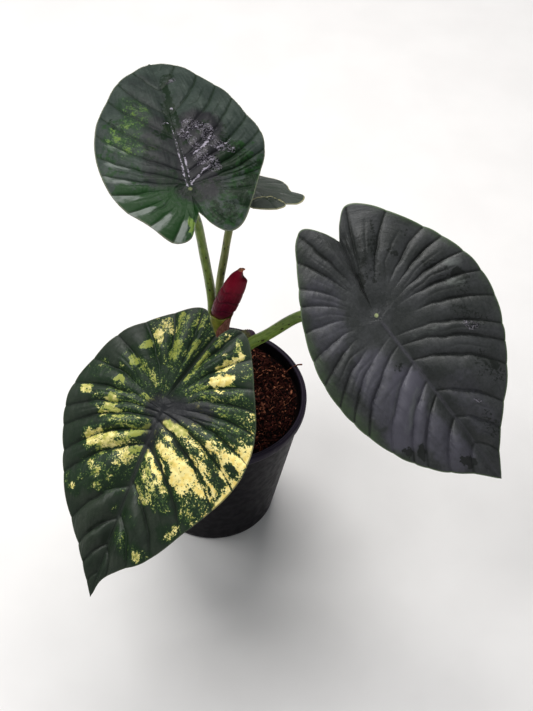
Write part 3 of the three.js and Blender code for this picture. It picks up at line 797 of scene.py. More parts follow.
def stroke_field(plan, strokes, feather):
    """The strongest stroke at each place: full inside its half width, then fading outwards.

    Also returned is the seventh number of that stroke, or 0 where it has none.
    """
    field, cover = np.zeros(len(plan)), np.zeros(len(plan))
    for x1, y1, x2, y2, half, strength, *seventh in strokes:
        start, run = np.array([x1, y1]), np.array([x2 - x1, y2 - y1])
        share = np.clip((plan - start) @ run / max(run @ run, 1e-6), 0, 1)
        gap = np.linalg.norm(plan - start - share[:, None] * run, axis=1)
        fade = feather if strength > 0 else ERASE_FEATHER
        value = abs(strength) * np.exp(-(np.maximum(gap - half, 0) / fade) ** 2)
        if strength < 0:
            field = field * (1 - value)
            continue
        cover = np.where(value > field, seventh[0] if seventh else 0, cover)
        field = np.maximum(field, value)
    return field, cover


# %% Pale patches and speckles
# Across the front leaf's pale patches run the dark lines of three veins, and there are two gaps.
DARK_VEINS = [
    (25.6, 4, 38.3, 18.6, .3, -.9), (38.3, 18.6, 46.5, 26.8, .3, -.9),
    (46.5, 26.8, 57.7, 34.2, .3, -.9), (17, 15.5, 21, 25, .4, -.9), (21, 25, 27.6, 35.4, .2, -.7),
    (27.6, 35.4, 36.3, 46.6, .2, -.6), (27, 46, 29, 49, 2.2, -.45), (18, 53, 18, 55, .8, -.5)]
# Pale patches. The seventh number is the hue, from cream, 0, to lime, 1.
PALE = {
    "front": [
        (-24, 24, -28, 31, 2.3, 1, .1), (-31, 24, -43, 32, 1.5, .9, .3),
        (-46, 29, -51, 27, .9, .75, .5), (-52, 21, -50, 20, 1.6, .5, .2),
        (-44, 16, -47, 17, 1.4, .6, .6), (-17, 7, -38, 13, .5, .8, .8),
        (-15, 14, -19, 18, 1.5, .62, .8), (-20, 28, -20, 29, .8, .8, .2),
        (-37, 37, -34, 41, 2.1, .48, .7), (-22, 41, -18, 48, 2.9, .5, .7),
        (-11, 34, -9, 39, 1.7, .6, .8), (-14, 47, -6, 53, 1.9, .52, .7),
        (-2, 47, 0, 55, 2.5, .48, .7), (-1, 31, -2, 46, 2.9, .4, .8), (3, 58, 13, 59, 1.7, 1, 0),
        (9, 55, 16, 49, 3.5, .9, 0), (12, 45, 11, 37, 1.9, .85, 0), (18, 50, 25, 50, 2.4, .95, 0),
        (16, 57, 25, 55, 1.9, .9, 0), (30, 48, 22, 56, 2.3, .8, 0), (19, 52, 20, 55, 1.9, -1),
        (22, 60, 44, 52, .9, .95, 0), (44, 52, 50, 48, .8, .8, 0), (9, 6, 10, 18, 1.9, 1, .45),
        (14, 24, 15, 36, 2.4, .7, .1), (17, 11, 18, 18, 1.4, .8, .2), (23, 9, 25, 15, 1.7, .9, .2),
        (25, 16, 30, 26, 3.2, .84, .15), (30, 25, 33, 37, 3.8, 1, 0), (33, 38, 36, 45, 3.8, 1, 0),
        (37, 26, 40, 31, 3.3, .88, 0), (29, 4, 31, 9, 1.2, 1, .2), (41, 8, 46, 13, 3, .76, .4),
        (33, 11, 38, 17, 2.6, .95, .1), (41, 17, 44, 22, 2.5, .75, .3),
        (55, 11, 55, 14, 2.2, .78, .4), (49, 3, 53, 8, 1.5, .6, .5), (25, 37, 28, 46, 2.9, .42, .2),
        (43, 39, 42, 49, 3.8, .56, .2), (51, 36, 55, 44, 2.4, .66, .3), (63, 36, 64, 36, 1, .8, .3),
        (70, 33, 67, 35, 1.4, .72, .3), (88, 20, 89, 20, 1.6, .78, .4),
        (78, 6, 85, 11, 1.4, .42, .5), (-56, 4, -51, 1, 1.8, .7, .6),
        (-51, -8, -51, -9, 2.7, .76, .6), (-45, -18, -42, -13, 2.9, .72, .3),
        (-37, -19, -36, -18, 2.7, .85, .3), (-29, -22, -28, -24, 1.7, .95, .8),
        (-35, -5, -30, -5, 3.0, .82, .85), (-45, -6, -38, -7, 2.9, .58, .7),
        (-42, 5, -32, 3, .7, .85, .7), (-27, -19, -35, -13, 2.9, .46, .6),
        (-18, -28, -17, -25, 2.2, .8, .75), (-18, -22, -14, -16, 1.2, .66, .6),
        (-14, -14, -10, -9, 1.4, .7, .5), (-4, -30, -4, -31, 1.8, .95, .8),
        (4, -28, 7, -24, 1.8, .6, .6), (9, -49, 9, -48, 2.4, .85, .4),
        (10, -30, 13, -28, 3.3, .95, .5), (18, -33, 18, -32, 1.5, .85, .4),
        (19, -26, 14, -9, 2.1, .62, .5), (21, -23, 16, -2, 1.8, .6, .6),
        (21, -9, 16, -1, 1.9, .95, .85), (34, -32, 31, -21, 4.1, .92, .35),
        (29, -18, 26, -12, 2.4, .78, .5), (39, -26, 38, -22, 1.6, .8, .7),
        (33, -12, 37, -7, 2.9, .8, .3), (31, -6, 30, 1, 2.1, .8, .6),
        (49, -26, 52, -21, 2.2, .7, .4), (42, -12, 42, -11, 1.5, .78, .3),
        (51, -14, 51, -13, 1.4, .68, .3), (57, -17, 60, -17, 1.4, .66, .5),
        (59, -30, 57, -29, 1.2, .6, .4), (65, -33, 65, -32, 1.1, .78, .3),
        (56, 0, 57, 0, 1, .6, .5), (0, -13, 0, -7, .6, .8, .8), (-6, -22, 3, -23, 3.9, .42, .7),
        (-6, -11, -7, -5, 1.9, .46, .6), (-27, -9, -23, -1, 2.9, .42, .7),
        (-9, -44, -2, -47, 2.4, .42, .3), (22, 29, 25, 38, 2.2, .8, .1),
        (-7, 20, -5, 28, 1.3, .65, .5), (-16, 22, -14, 28, 1.5, .6, .6),
        (14, -27, 16, -21, 2.2, .74, .5), (2, -21, 5, -18, 1.4, .6, .6),
        (-38, 42, -35, 44, 2.2, .6, .5), (-55, 0, -50, 12, 2.4, .55, .5),
        (-30, 8, -12, 6, 1.6, .5, .6), (-26, 12, -12, 11, 1.2, .5, .6),
        (-9, 14, -6, 24, 1.6, .5, .5), *DARK_VEINS],
    "back": [
        (50, 37, 51, 36, 1.2, .66, .9), (53, 27, 53, 28, 1.5, .64, .9),
        (53, 32, 53, 31, 1, .66, .9), (43, 41, 43, 42, 1.1, .7, .9), (42, 35, 42, 36, .9, .7, .9),
        (33, 32, 32, 31, 1.5, .76, .9), (31, 16, 31, 17, 1, .8, .9), (62, 14, 63, 22, 1.1, .6, .9),
        (46, 36, 47, 36, 1, .7, .9), (-24, 4, -31, 5, .6, .95, 1), (48, 4, 48, 5, 1, .8, 1)],
}
# Wide zones of speckles, with a lower likelihood. The seventh number is the hue again.
SPECKLE = {
    "front": [
        (-45, -21, -32, -16, 6.8, .5, .35), (-56, 2, -50, 12, 3.5, .56, .5),
        (-44, 6, -34, 12, 4, .5, .6), (-48, -13, -29, -4, 6.8, .54, .6),
        (-51, -3, -40, 1, 4.9, .5, .6), (-31, -21, -15, -26, 4.4, .3, .5),
        (-19, -30, -5, -30, 2.9, .42, .5), (-14, -24, -9, -6, 5.8, .5, .55),
        (-16, -13, -5, -5, 3.9, .45, .7), (-32, -5, -11, 0, 3.9, .45, .7),
        (-49, 3, -32, 2, 2.9, .45, .6), (-30, 3, -12, 1, 2.1, .42, .6),
        (4, -28, 12, -5, 5.8, .55, .6), (12, -36, 17, -24, 3.9, .6, .5),
        (21, -23, 21, 0, 5.8, .46, .6), (34, -32, 34, -17, 5.9, .6, .5),
        (34, -16, 32, 1, 5.8, .62, .4), (44, -21, 41, -4, 5.8, .5, .5),
        (49, -30, 52, -18, 3.9, .4, .5), (56, -30, 60, -23, 2.9, .38, .5),
        (54, -21, 54, -8, 3.9, .45, .5), (62, -38, 66, -31, 2, .5, .4),
        (8, -52, 9, -43, 3.9, .3, .4), (-5, -54, -2, -39, 4.4, .38, .3),
        (33, -46, 53, -32, 3.9, .25, .5), (-52, 19, -45, 33, 3, .32, .5),
        (-36, 22, -36, 36, 4.2, .5, .2), (-22, 16, -17, 24, 4.8, .5, .7),
        (-11, 11, -12, 20, 2.4, .4, .6), (-21, 33, -10, 51, 6.7, .56, .5),
        (-14, 50, -4, 54, 2, .6, .1), (-4, 27, 2, 57, 5.8, .53, .5), (8, 20, 15, 48, 5.8, .55, .35),
        (5, 52, 13, 60, 4.8, .6, .2), (17, 12, 26, 43, 6.7, .64, .2),
        (26, 32, 37, 49, 7.7, .65, .15), (9, 46, 28, 58, 7.7, .58, .2),
        (25, 5, 29, 16, 3.9, .6, .2), (41, 7, 49, 24, 7.2, .6, .45), (37, 21, 40, 38, 5.8, .6, .2),
        (38, 39, 45, 50, 5.8, .5, .3), (49, 33, 55, 46, 4.8, .48, .4),
        (52, 21, 59, 34, 2.9, .2, .5), (68, 32, 68, 38, 3.9, .42, .4),
        (66, -1, 70, 9, 2.4, .36, .4), (79, 5, 86, 13, 2.9, .36, .5), (87, 17, 88, 24, 3.4, .5, .4),
        *DARK_VEINS],
    "back": [
        (60, 20, 40, 34, 6, .5, .9), (30, 32, 34, 18, 3, .46, .9), (72, 24, 62, 18, 4, .46, .9)],
}
print("pale strokes:", sum(map(len, PALE.values())), "patches and",
      sum(map(len, SPECKLE.values())), "zones of speckles")

# %% Violet, dark and green places
# Violet places: a grey bloom over the front leaf's markings, dark wet skin on the back one, and
# a lighter bloom on the right one, which is partly painted sheen.
CLOUD = {
    "front": [
        (3, -1, 5, 5, 4, 1), (1, 5, -4, 25, 2.6, .9), (7, 1, 23, 1, .8, .8),
        (9, 7, 11, 17, 1.4, -1)],
    "back": [
        (3, -5, 46, -14, 10, .85), (46, 8, 12, 14, 8, .65), (88, 12, 62, 12, 9, .42),
        (60, 22, 40, 28, 7, .35), (6, -26, -18, -16, 5, .25)],
    "right": [
        (25, -22, 50, -26, 9, .6), (44, -12, 66, -30, 7, .85), (70, -18, 97, -13, 6, .65),
        (-30, -18, -5, -30, 7, .45), (62, 14, 90, 12, 5, .4)],
}
# Dark green places, where the bloom is rubbed or wetted away.
DEEP = {
    "back": [
        (50, 3, 43, 5, 2.6, .95), (60, -1, 72, -1, 1.5, .95), (76, -2, 88, -1, 1.1, .9),
        (96, -5, 92, -2, 2.6, .6), (57, -3, 49, -2, .6, .8), (59, 36, 54, 35, 1, .5),
        (43, 12, 40, 9, 1.6, .6), (26, 22, 22, 16, 1.2, .5), (12, -21, 24, -28, 5, .84),
        (36, -28, 22, -34, 3, .55), (2, 4, -5, -3, 3.5, .6), (46, 3, 51, 5, 1.6, .7),
        (-12, -12, -25, -14, .8, .7), (-4, -29, -5, -36, 1.4, .8), (-12, -28, -14, -31, 1.2, .7),
        (10, -20, 8, -30, 1.5, .5), (21, -32, 14, -37, 3, .62), (-6, -25, -8, -28, 2.9, .78),
        (-14, -20, -24, -20, 2.2, .58), (6, -38, 0, -34, 2.2, .72), (4, -16, -6, -18, 1.6, .55),
        (52, 2, 70, 2, 1.4, .6), (-12, -30, -15, -30, 1.9, .75), (16, -44, 13, -41, 1.6, .55),
        (44, -28, 43, -29, 1.6, .5), (-17, -10, -27, -12, 1.4, .6), (41, -11, 40, -13, .9, .6),
        (49, -18, 47, -18, .9, .7), (34, -3, 37, -8, .6, .8), (3, -8, 3, -10, 1.3, .6),
        (34, 10, 31, 20, .9, .5), (-31, -15, -32, -16, 1, .5)],
    "right": [
        (-44, 31, -36, 26, .8, .6), (-36, 24, -31, 22, 1.7, .5), (-25, 7, -18, 4, .8, .8),
        (-44, 19, -44, 20, 1.4, .5), (-31, 14, -29, 13, .7, .7), (-24, 31, -24, 30, 1.8, .65),
        (-29, 43, -28, 44, 1.4, .45), (9, 53, 13, 55, 1.9, .9), (2, 46, 2, 47, .9, .6),
        (14, 56, 16, 57, .6, .8), (-9, 41, -8, 41, .8, .6), (66, 38, 68, 38, 1.2, 1),
        (66, 28, 66, 29, 1.3, .5), (32, -8, 32, -9, 1.4, .5), (78, -27, 84, -31, .7, 1),
        (74, -36, 77, -35, .8, .95), (100, -12, 105, -9, 1.8, 1.1), (-58, 1, -56, 1, .7, .5),
        (-36, 27, -16, 12, 1.6, .45), (-40, 20, -22, 8, 1.6, .45), (-10, 42, 18, 52, 4, .45),
        (24, 40, 42, 48, 3, .45), (58, 34, 74, 36, 4, .45), (88, 14, 100, 14, 3, .45)],
    "young": [(-31, 14.5, -24, 17, .9, .8)],
}
# Broad green tints, where the violet bloom is thin.
GREEN = {
    "back": [
        (-26, 12, -20, 28, 7, .95), (-10, 20, -5, 38, 7, .9), (14, 44, 34, 44, 4, .5),
        (-20, -14, -8, -32, 7, .6), (4, 10, -14, 8, 6, .9), (2, -4, -18, -9, 3, .7),
        (8, 20, 12, 34, 6, .45), (-2, -30, 14, -40, 6, .66), (18, -26, 24, -34, 5, .65),
        (52, 32, 38, 38, 5, .55), (56, 20, 36, 20, 4, .3)],
    "right": [
        (-62, -12, -46, -25, .3, .45), (-46, -25, -24, -39, .4, .6), (-24, -39, 0, -48, .8, .7),
        (0, -48, 24, -52, 1.5, .7), (24, -52, 54, -50, 3, .75), (54, -50, 78, -41, .8, .6),
        (-55, 40, -36, 51, .3, .5), (-36, 51, -15, 62, .3, .6), (-15, 62, 8, 68, .3, .5),
        (8, 68, 30, 67, .2, .45), (30, 67, 60, 54, .2, .4)],
}
print("dark places:", sum(map(len, DEEP.values())))

# %% Wet places and painted highlights
# Wet places. Inside them the finish paints highlights of the water film as fine curls.
WET = {
    "back": [
        (49, -8, 46, -15, 3, .8), (43, -18, 36, -18, 3.5, .75), (30, -22, 26, -28, 3, .7),
        (24, -10, 14, -16, 4, .8), (43, -3, 36, -7, 2.2, .7), (32, -8, 26, -14, 2, .6),
        (90, -5, 92, -7, 1.2, .6)],
    "right": [(36, 39, 42, 43, 1.2, .62), (76, 15, 78, 17, .8, .6)],
}
# Painted highlights where the water film glints, as white ribbons.
GLINT_RIBBONS = {
    "back": [
        (2, 1.3, 28, 1.6, .1, 1), (3, -1.3, 24, -1.2, .1, 1), (28, 1.4, 50, 1.8, 0, .75),
        (24, -1, 40, 0, 0, .6), (4, -1, 13, -12, .1, 1), (13, -12, 15, -20, 0, .8),
        (17, -10, 18, -18, .3, .8), (9, -8, 20, -13, 0, .65), (24, -6, 29, -13, .3, .95),
        (29, -13, 33, -17, .5, 1), (33, -17, 38, -19, .2, .95), (30, -14, 27, -21, 0, .95),
        (27, -21, 31, -27, .1, .95), (31, -27, 35, -31, .1, .9), (29, -25, 25, -30, 0, .8),
        (43, -15, 43, -24, 0, .85), (37, -3, 41, -9, 0, .85), (46, -4, 42, -7, .1, .85),
        (50, -7, 54, -11, 0, .8), (48, -11, 44, -13, .2, .75), (37, -12, 34, -8, 0, .7),
        (53, 3, 51, 7, .3, .9), (66, -1, 65, -2, .4, 1), (93, -6, 91, -7, .2, .8)],
    "right": [(40, 41, 42, 43, .1, .7), (47, 38, 49, 38, .1, .7), (76, 15, 78, 16, .2, .7)],
}
# Painted highlights: pale streaks of shine. The seventh number says how far they keep to the
# brink of each bay: not at all at 0, wholly at 1.
PAINTED_GLOSS = {
    "back": [
        (38, 36, 20, 40, 4, .6, 1), (20, 40, 4, 41, 5, .75, 1), (4, 41, -12, 35, 5.5, .85, 1),
        (-12, 33, -23, 25, 6, .95, 1), (-23, 22, -31, 9, 5.5, .95, 1),
        (-2, 44, -16, 36, 1.5, .8, .3)],
    "right": [
        (23, 11, 28, 23, .3, .45, 0), (1.6, 53, 4.4, 58, .1, .8, 0), (11, 47, 15, 53, .1, .7, 0),
        (46, -12, 60, -28, 4, .8, 1), (60, -4, 72, -12, 3, .6, 1)],
}
print("ribbons:", sum(map(len, GLINT_RIBBONS.values())))

# %% [markdown]
# ## The leaf blades: their finish
# A nebula leaf is dark green tissue under a waxy bloom that reads as grey, silver or violet. The
# material starts from the bloom, clouds it, lets the green show where strokes say so, and
# darkens the veins' creases with dark vein colour and painted shade. Pale tissue is decided by a
# threshold: noise, stretched along the veins and broken by finer noise, is added to the stored
# likelihood, and a narrow ramp turns the sum into patch or no patch. Likelihoods near one half
# therefore give speckles, and high ones solid cream. Dark places and wet skin lie on top, and
# then painted highlights: pale curls and ribbons where water glints, and pale streaks of shine.
# The lower face is a plain pale green with darker ribs.

# %% Leaf colours
# Colours of each leaf, and strengths: of the green fringe of pale patches, the creases' dark
# lines, which are dark vein colour with painted shade, the painted highlights and the disc's dot;
# how ragged the green tint is, and the sums at which it begins and is full; and the shader's
# roughness, sheen and specular level. A leaf gives only what differs from the usual.
USUAL_LOOKS = dict(lime=tone(148, 156, 72), fringe=1.0, dot=0.0, patchy=1.0,
                   green_edge=(0.2, 1.1), rough=0.42, sheen=0.0)
LEAF_LOOKS = {
    "back": dict(bloom=tone(55, 64, 59), cloud=tone(42, 51, 47), deep=tone(8, 26, 8),
                 violet=tone(28, 27, 31), ridge=tone(26, 32, 28), lush=tone(18, 50, 14),
                 margin=tone(92, 98, 80), crease=0.6, painted_gloss=0.7, shine=0.12, dot=0.4,
                 lime=tone(88, 110, 44), fringe=0.35, patchy=2.6, green_edge=(0.4, 0.8)),
    "front": dict(bloom=tone(44, 54, 42), cloud=tone(32, 44, 32), deep=tone(20, 30, 20),
                  violet=tone(24, 25, 30), ridge=tone(36, 39, 39), lush=tone(22, 42, 22),
                  margin=tone(58, 68, 50), crease=0.85, painted_gloss=0.5, shine=0.3),
    # The right leaf's light violet is partly its bloom and partly painted sheen.
    "right": dict(bloom=tone(56, 58, 59), cloud=tone(43, 46, 45), deep=tone(10, 16, 10),
                  violet=tone(76, 75, 85), ridge=tone(72, 71, 78), lush=tone(54, 72, 44),
                  margin=tone(84, 102, 72), crease=0.7, painted_gloss=0.4, shine=0.35, dot=1.0,
                  patchy=0.9, rough=0.44, sheen=0.03),
    "young": dict(bloom=tone(62, 68, 62), cloud=tone(50, 60, 50), deep=tone(28, 42, 26),
                  violet=tone(62, 62, 62), ridge=tone(112, 114, 92), lush=tone(44, 60, 36),
                  margin=tone(160, 156, 112), crease=0.7, painted_gloss=0.4, shine=0.3, sheen=0.08),
}
CREAM, CREAM_DEEP = tone(252, 236, 158), tone(242, 214, 116)
HALF_PALE, DOT, UNDERSIDE = tone(66, 94, 46), tone(150, 160, 112), tone(92, 108, 78)
UNDER_RIB, UNDER_CLOUD = tone(70, 82, 58), tone(104, 110, 92)
PAINTED_GLINT, WET_SKIN, PAINTED_SHINE = tone(152, 147, 160), tone(22, 20, 24), tone(116, 122, 118)
ALONG_VEINS, ACROSS_VEINS = (1.0, 0.28, 1.0), (0.35, 1.0, 1.0)


# %% Patches and water marks
def patches(f):
    """Shares of pale tissue, and of the half-pale green that fringes it.

    The stored likelihood and three noises are added up. Where the sum passes one level the tissue
    is pale, and where it passes a lower one it is half pale. Tissue beside a vein is less often
    pale.
    """
    streaks = f.noise(1.9, detail=5, roughness=0.65, place=f.along)
    fine = f.noise(1.15, detail=6, roughness=0.7)
    coarse = f.noise(4.0, detail=5, roughness=0.6)
    mixed = f.plus(f.plus(f.times(streaks, 1.2), fine, 2.2), coarse, 0.8)
    nowhere = f.ramp(f.stored("pale"), 0.02, 0.25, -0.7, 0)
    beside_vein = f.ramp(f.stored("vein"), 0.2, 1.3, -0.3, 0)
    likely = f.plus(f.times(f.stored("pale"), 1.2), nowhere)
    total = f.plus(f.plus(mixed, likely), beside_vein)
    return f.ramp(total, 2.92, 3.02), f.ramp(total, 2.68, 2.9)


def wet_and_painted_glints(f):
    """Shares of wet skin, of the painted highlights of water on it, and of painted shine.

    Fine curls are the places where a drifting noise is close to its middle value. Ribbons are
    strokes with ragged edges, and so are the streaks of shine.
    """
    wet = f.ramp(f.plus(f.stored("wet"), f.noise(2.2, detail=4)), 0.95, 1.1)
    middle = f.swing(4.0, detail=4, roughness=0.6, distortion=1.5)
    curls = f.times(f.ramp(f.math("ABSOLUTE", middle), 0.008, 0.03, 0.75, 0), wet)
    torn = f.swing(1.7, detail=6, roughness=0.7, distortion=0.6)
    glint_ribbon = f.ramp(f.plus(f.stored("glint_ribbon"), torn, 2.6), 0.72, 0.9)
    streak = f.swing(1.6, detail=4, roughness=0.6, place=f.along)
    shine = f.plus(f.stored("painted_gloss"), streak, 1.3)
    shine = f.times(f.ramp(shine, 0.3, 1.0), f.ramp(f.stored("painted_gloss"), 0.05, 0.3))
    return wet, f.math("MAXIMUM", curls, glint_ribbon), shine


# %% Leaf skin
def leaf_skin(f, looks):
    """The upper face before any pale tissue: bloom, clouds, green places, and creases darkened by
    dark vein colour and painted shade.
    """
    cloudy = f.ramp(f.noise(14, detail=4), 0.38, 0.62)
    mottle = f.ramp(f.noise(1.6, detail=4, roughness=0.6), 0.3, 0.7)
    skin = f.blend(cloudy, looks["bloom"], looks["cloud"])
    skin = f.blend(f.times(mottle, 0.35), skin, looks["deep"])
    uneven = f.swing(5, detail=6, roughness=0.65)
    patchy = f.plus(f.stored("green"), uneven, looks["patchy"])
    skin = f.blend(f.ramp(patchy, *looks["green_edge"], 0, 0.9), skin, looks["lush"])
    # The creases and the forks off them are darkened: dark vein colour with painted shade.
    crease = f.ramp(f.stored("vein"), 0.1, 1.7, looks["crease"], 0)
    skin = f.blend(crease, skin, looks["deep"])
    skin = f.blend(f.ramp(f.stored("fork"), 0.12, 0.5, 0, 0.5), skin, looks["deep"])
    pale_zone = f.plus(f.stored("pale"), uneven, 0.3)
    return f.blend(f.ramp(pale_zone, 0.1, 0.42, 0, looks["fringe"]), skin, looks["lush"])


def pale_tissue(f, looks, skin):
    """Lime and cream patches with their half-pale fringe, and dark lines where veins cross."""
    pale, half_pale = patches(f)
    lime = f.ramp(f.plus(f.stored("lime"), f.noise(3.0, detail=3)), 0.6, 1.15)
    cream = f.blend(f.ramp(f.noise(3.0), 0.4, 0.7), CREAM, CREAM_DEEP)
    skin = f.blend(half_pale, skin, HALF_PALE)
    skin = f.blend(pale, skin, f.blend(lime, cream, looks["lime"]))
    vein_line = f.plus(f.stored("vein"), f.noise(1.2, detail=4))
    return f.blend(f.ramp(vein_line, 0.65, 0.95, 0.85, 0), skin, looks["deep"])


def upper_details(f, looks, skin):
    """Violet clouds, the midrib's ridge, rubbed dark places, the margin's line and the dot."""
    cloud_edge = f.plus(f.stored("cloud"), f.noise(3.0, detail=4), 0.5)
    skin = f.blend(f.ramp(cloud_edge, 0.4, 1.15, 0, 0.92), skin, looks["violet"])
    ridge = f.ramp(f.stored("rib"), 0.2, 1.5, 1, 0)
    skin = f.blend(f.times(ridge, f.stored("rib_tint")), skin, looks["ridge"])
    rubbed = f.plus(f.stored("deep"), f.swing(1.7, detail=6, roughness=0.7), 2.2)
    skin = f.blend(f.ramp(rubbed, 0.42, 0.62, 0, 0.9), skin, looks["deep"])
    skin = f.blend(f.ramp(f.stored("margin"), 0.25, 0.7, 0.8, 0), skin, looks["margin"])
    return f.blend(f.ramp(f.stored("disc"), 0.7, 1.6, looks["dot"], 0), skin, DOT)


def lower_face(f):
    """Pale green with darker ribs and faint clouds."""
    below = f.blend(f.ramp(f.stored("vein"), 0.2, 1.2, 0.7, 0), UNDERSIDE, UNDER_RIB)
    return f.blend(f.ramp(f.noise(6, detail=4), 0.4, 0.7, 0, 0.4), below, UNDER_CLOUD)


# %% Leaf material
def leaf_material(name, looks):
    """Bloom over green tissue, creased veins with painted shade, pale patches, wet skin with
    painted highlights and a pale lower face.
    """
    f = Finish("leaf_" + name)
    f.along = f.stretch(f.stored_place("flow"), ALONG_VEINS)
    f.across = f.stretch(f.stored_place("flow"), ACROSS_VEINS)
    skin = upper_details(f, looks, pale_tissue(f, looks, leaf_skin(f, looks)))
    wet, curls, shine = wet_and_painted_glints(f)
    skin = f.blend(f.times(wet, 0.55), skin, WET_SKIN)
    # Painted highlights where the water glints: pale curls and ribbons.
    skin = f.blend(f.times(curls, 0.8), skin, PAINTED_GLINT)
    # Painted highlights: pale streaks of shine beside the creases.
    skin = f.blend(f.times(shine, looks["painted_gloss"]), skin, PAINTED_SHINE)
    color = f.blend(f.stored("under"), skin, lower_face(f))
    dry = f.ramp(f.noise(2.0, detail=4), 0.3, 0.7, looks["rough"], looks["rough"] + 0.12)
    roughness = f.math("SUBTRACT", dry, f.times(wet, looks["rough"] - 0.16), clamp=True)
    normal = f.bump(f.ramp(f.cells(1.3, feature="DISTANCE_TO_EDGE"), 0.0, 0.25), 0.05, 0.5)
    normal = f.bump(f.noise(2.6, detail=5, place=f.across), 0.55, 0.9, below=normal)
    normal = f.bump(curls, 0.2, 0.8, below=normal)
    return f.finish(color, roughness, normal, sheen_weight=looks["sheen"], sheen_roughness=0.5,
                    specular_ior_level=looks["shine"])


# %% Blades
# How far each kind of stroke fades out beyond its half width.
FEATHER = {"pale": 1.6, "speckle": 3.8, "cloud": 6.0, "deep": 1.6, "wet": 1.5, "glint_ribbon": 0.7,
           "painted_gloss": 4.0, "green": 7.0}
DRIFT, JITTER = {"size": 9.0, "reach": 2.4}, {"size": 4.0, "reach": 0.9}
ZONE_SHARE, PALE_OFF_RIB = 0.9, (0.6, 2.2)
# The midrib's tint: its strength, where it begins in front of the disc, and where and how far
# it fades.
RIB_TINT = {"strength": 0.6, "begins": (2, 8), "fades": (30, 100), "loss": 0.6}


def markings(name, number, plan, rib, brink):
    """How strongly each kind of marking shows at each point of one blade."""
    drifted = wandered(plan, **DRIFT, seed=70 + number)
    jittered = wandered(plan, **JITTER, seed=90 + number)

    def laid(places, strokes, kind):
        """That kind of stroke on this blade."""
        return stroke_field(places, strokes.get(name, []), FEATHER[kind])

    patch, hue = laid(drifted, PALE, "pale")
    zone, zone_hue = laid(drifted, SPECKLE, "speckle")
    # The painted highlights keep, as far as each stroke says, to the brink of each bay.
    painted_gloss, brink_share = laid(jittered, PAINTED_GLOSS, "painted_gloss")
    begun, faded = (step(plan[:, 0], *RIB_TINT[key]) for key in ("begins", "fades"))
    return {
        "pale": np.maximum(patch, ZONE_SHARE * zone) * step(rib, *PALE_OFF_RIB),
        "lime": np.where(patch > zone, hue, zone_hue),
        "cloud": laid(drifted, CLOUD, "cloud")[0], "deep": laid(drifted, DEEP, "deep")[0],
        # The ribbons are painted highlights of the water film.
        "wet": laid(drifted, WET, "wet")[0], "glint_ribbon": laid(jittered, GLINT_RIBBONS, "glint_ribbon")[0],
        "painted_gloss": painted_gloss * (1 - brink_share * (1 - brink)),
        "green": laid(plan, GREEN, "green")[0], "disc": np.linalg.norm(plan, axis=1),
        "rib_tint": begun * (1 - RIB_TINT["loss"] * faded) * RIB_TINT["strength"]}


for number, (name, leaf) in enumerate(LEAVES.items()):
    points, faces, fields = blade_skin(leaf, seed=10 * number)
    plan, brink = fields.pop("plan"), fields.pop("brink")
    fields["margin"] = np.minimum(fields["margin"], roll_distance(leaf, plan))
    fields.update(markings(name, number, plan, fields["rib"], brink))
    material = leaf_material(name, {**USUAL_LOOKS, **LEAF_LOOKS[name]})
    make_piece(f"leaf_{name}", points, faces, material, f"blade_{name}",
               fields)

# %% [markdown]
# ## The stalks
# Each stalk is round, swells to a sheathing foot in the coir, and meets the disc of its blade
# squarely from below. It is a circle carried along a smooth path through measured points. The
# foot shows the closed edges of its sheath as a seam: a narrow groove with a low lip on each
# side. Brown flecks, longer than wide, are scattered over the light green skin.

# %% Stalk dimensions
# For each stalk: where its foot stands, its radii at the foot and at the top, the side that its
# seam is on, in radians, how young its tissue is, and the points that it passes.
STALKS = {
    "back": dict(foot=(-10.8, 23.8), foot_radius=4.9, top_radius=2.7, seam=2.6, young=0.25,
                 path=[(-10.4, 24.6, 110), (-8.3, 28, 152), (-9.4, 24, 177), (-14.8, 12.9, 225),
                       (-19.3, 3.1, 262)]),
    "front": dict(foot=(-7.2, 10.4), foot_radius=5.1, top_radius=3.0, seam=0.4, young=0.0,
                  path=[(-7.8, 9.6, 110), (-11, 1, 150), (-15.5, -25, 178), (-19.5, -58, 190)]),
    "right": dict(foot=(8.3, 15.2), foot_radius=5.2, top_radius=3.3, seam=3.6, young=0.1,
                  path=[(8.9, 15, 110), (14, 12.2, 141), (30.9, 5.9, 167), (49.2, -3, 195.5),
                        (72, -18.5, 220)]),
    "young": dict(foot=(-1.6, 29.6), foot_radius=4.4, top_radius=2.4, seam=4.4, young=0.8,
                  path=[(-2, 30.4, 110), (-4.6, 35, 152), (-5.1, 35, 177), (-3.2, 36.5, 203),
                        (-1.8, 37.4, 222)]),
}
STALK = {"depth": 74, "sides": 36, "rings": 150, "neck": 8, "slimming": 0.25, "swell_reach": 0.45,
         "enters_disc": 2.4, "flare": 0.7, "flare_from": 0.975}
SEAM = {"groove": 0.5, "width": 0.5, "lip": 0.35, "lip_at": 1.1, "lip_width": 0.5,
        "top_share": 0.42, "fade": 0.08}


# %% Stalk rings
def stalk_path(name, count):
    """Points from the hidden foot to just inside the disc of the blade."""
    leaf, stalk = LEAVES[name], STALKS[name]
    up = attitude(leaf)[:, 2]
    end = np.array(leaf["at"], float) - STALK["enters_disc"] * up
    neck = end - STALK["neck"] * up
    points = [(*stalk["foot"], STALK["depth"]), *stalk["path"], neck, end]
    return smooth_path(points, np.linspace(0, 1, count), 0.5)


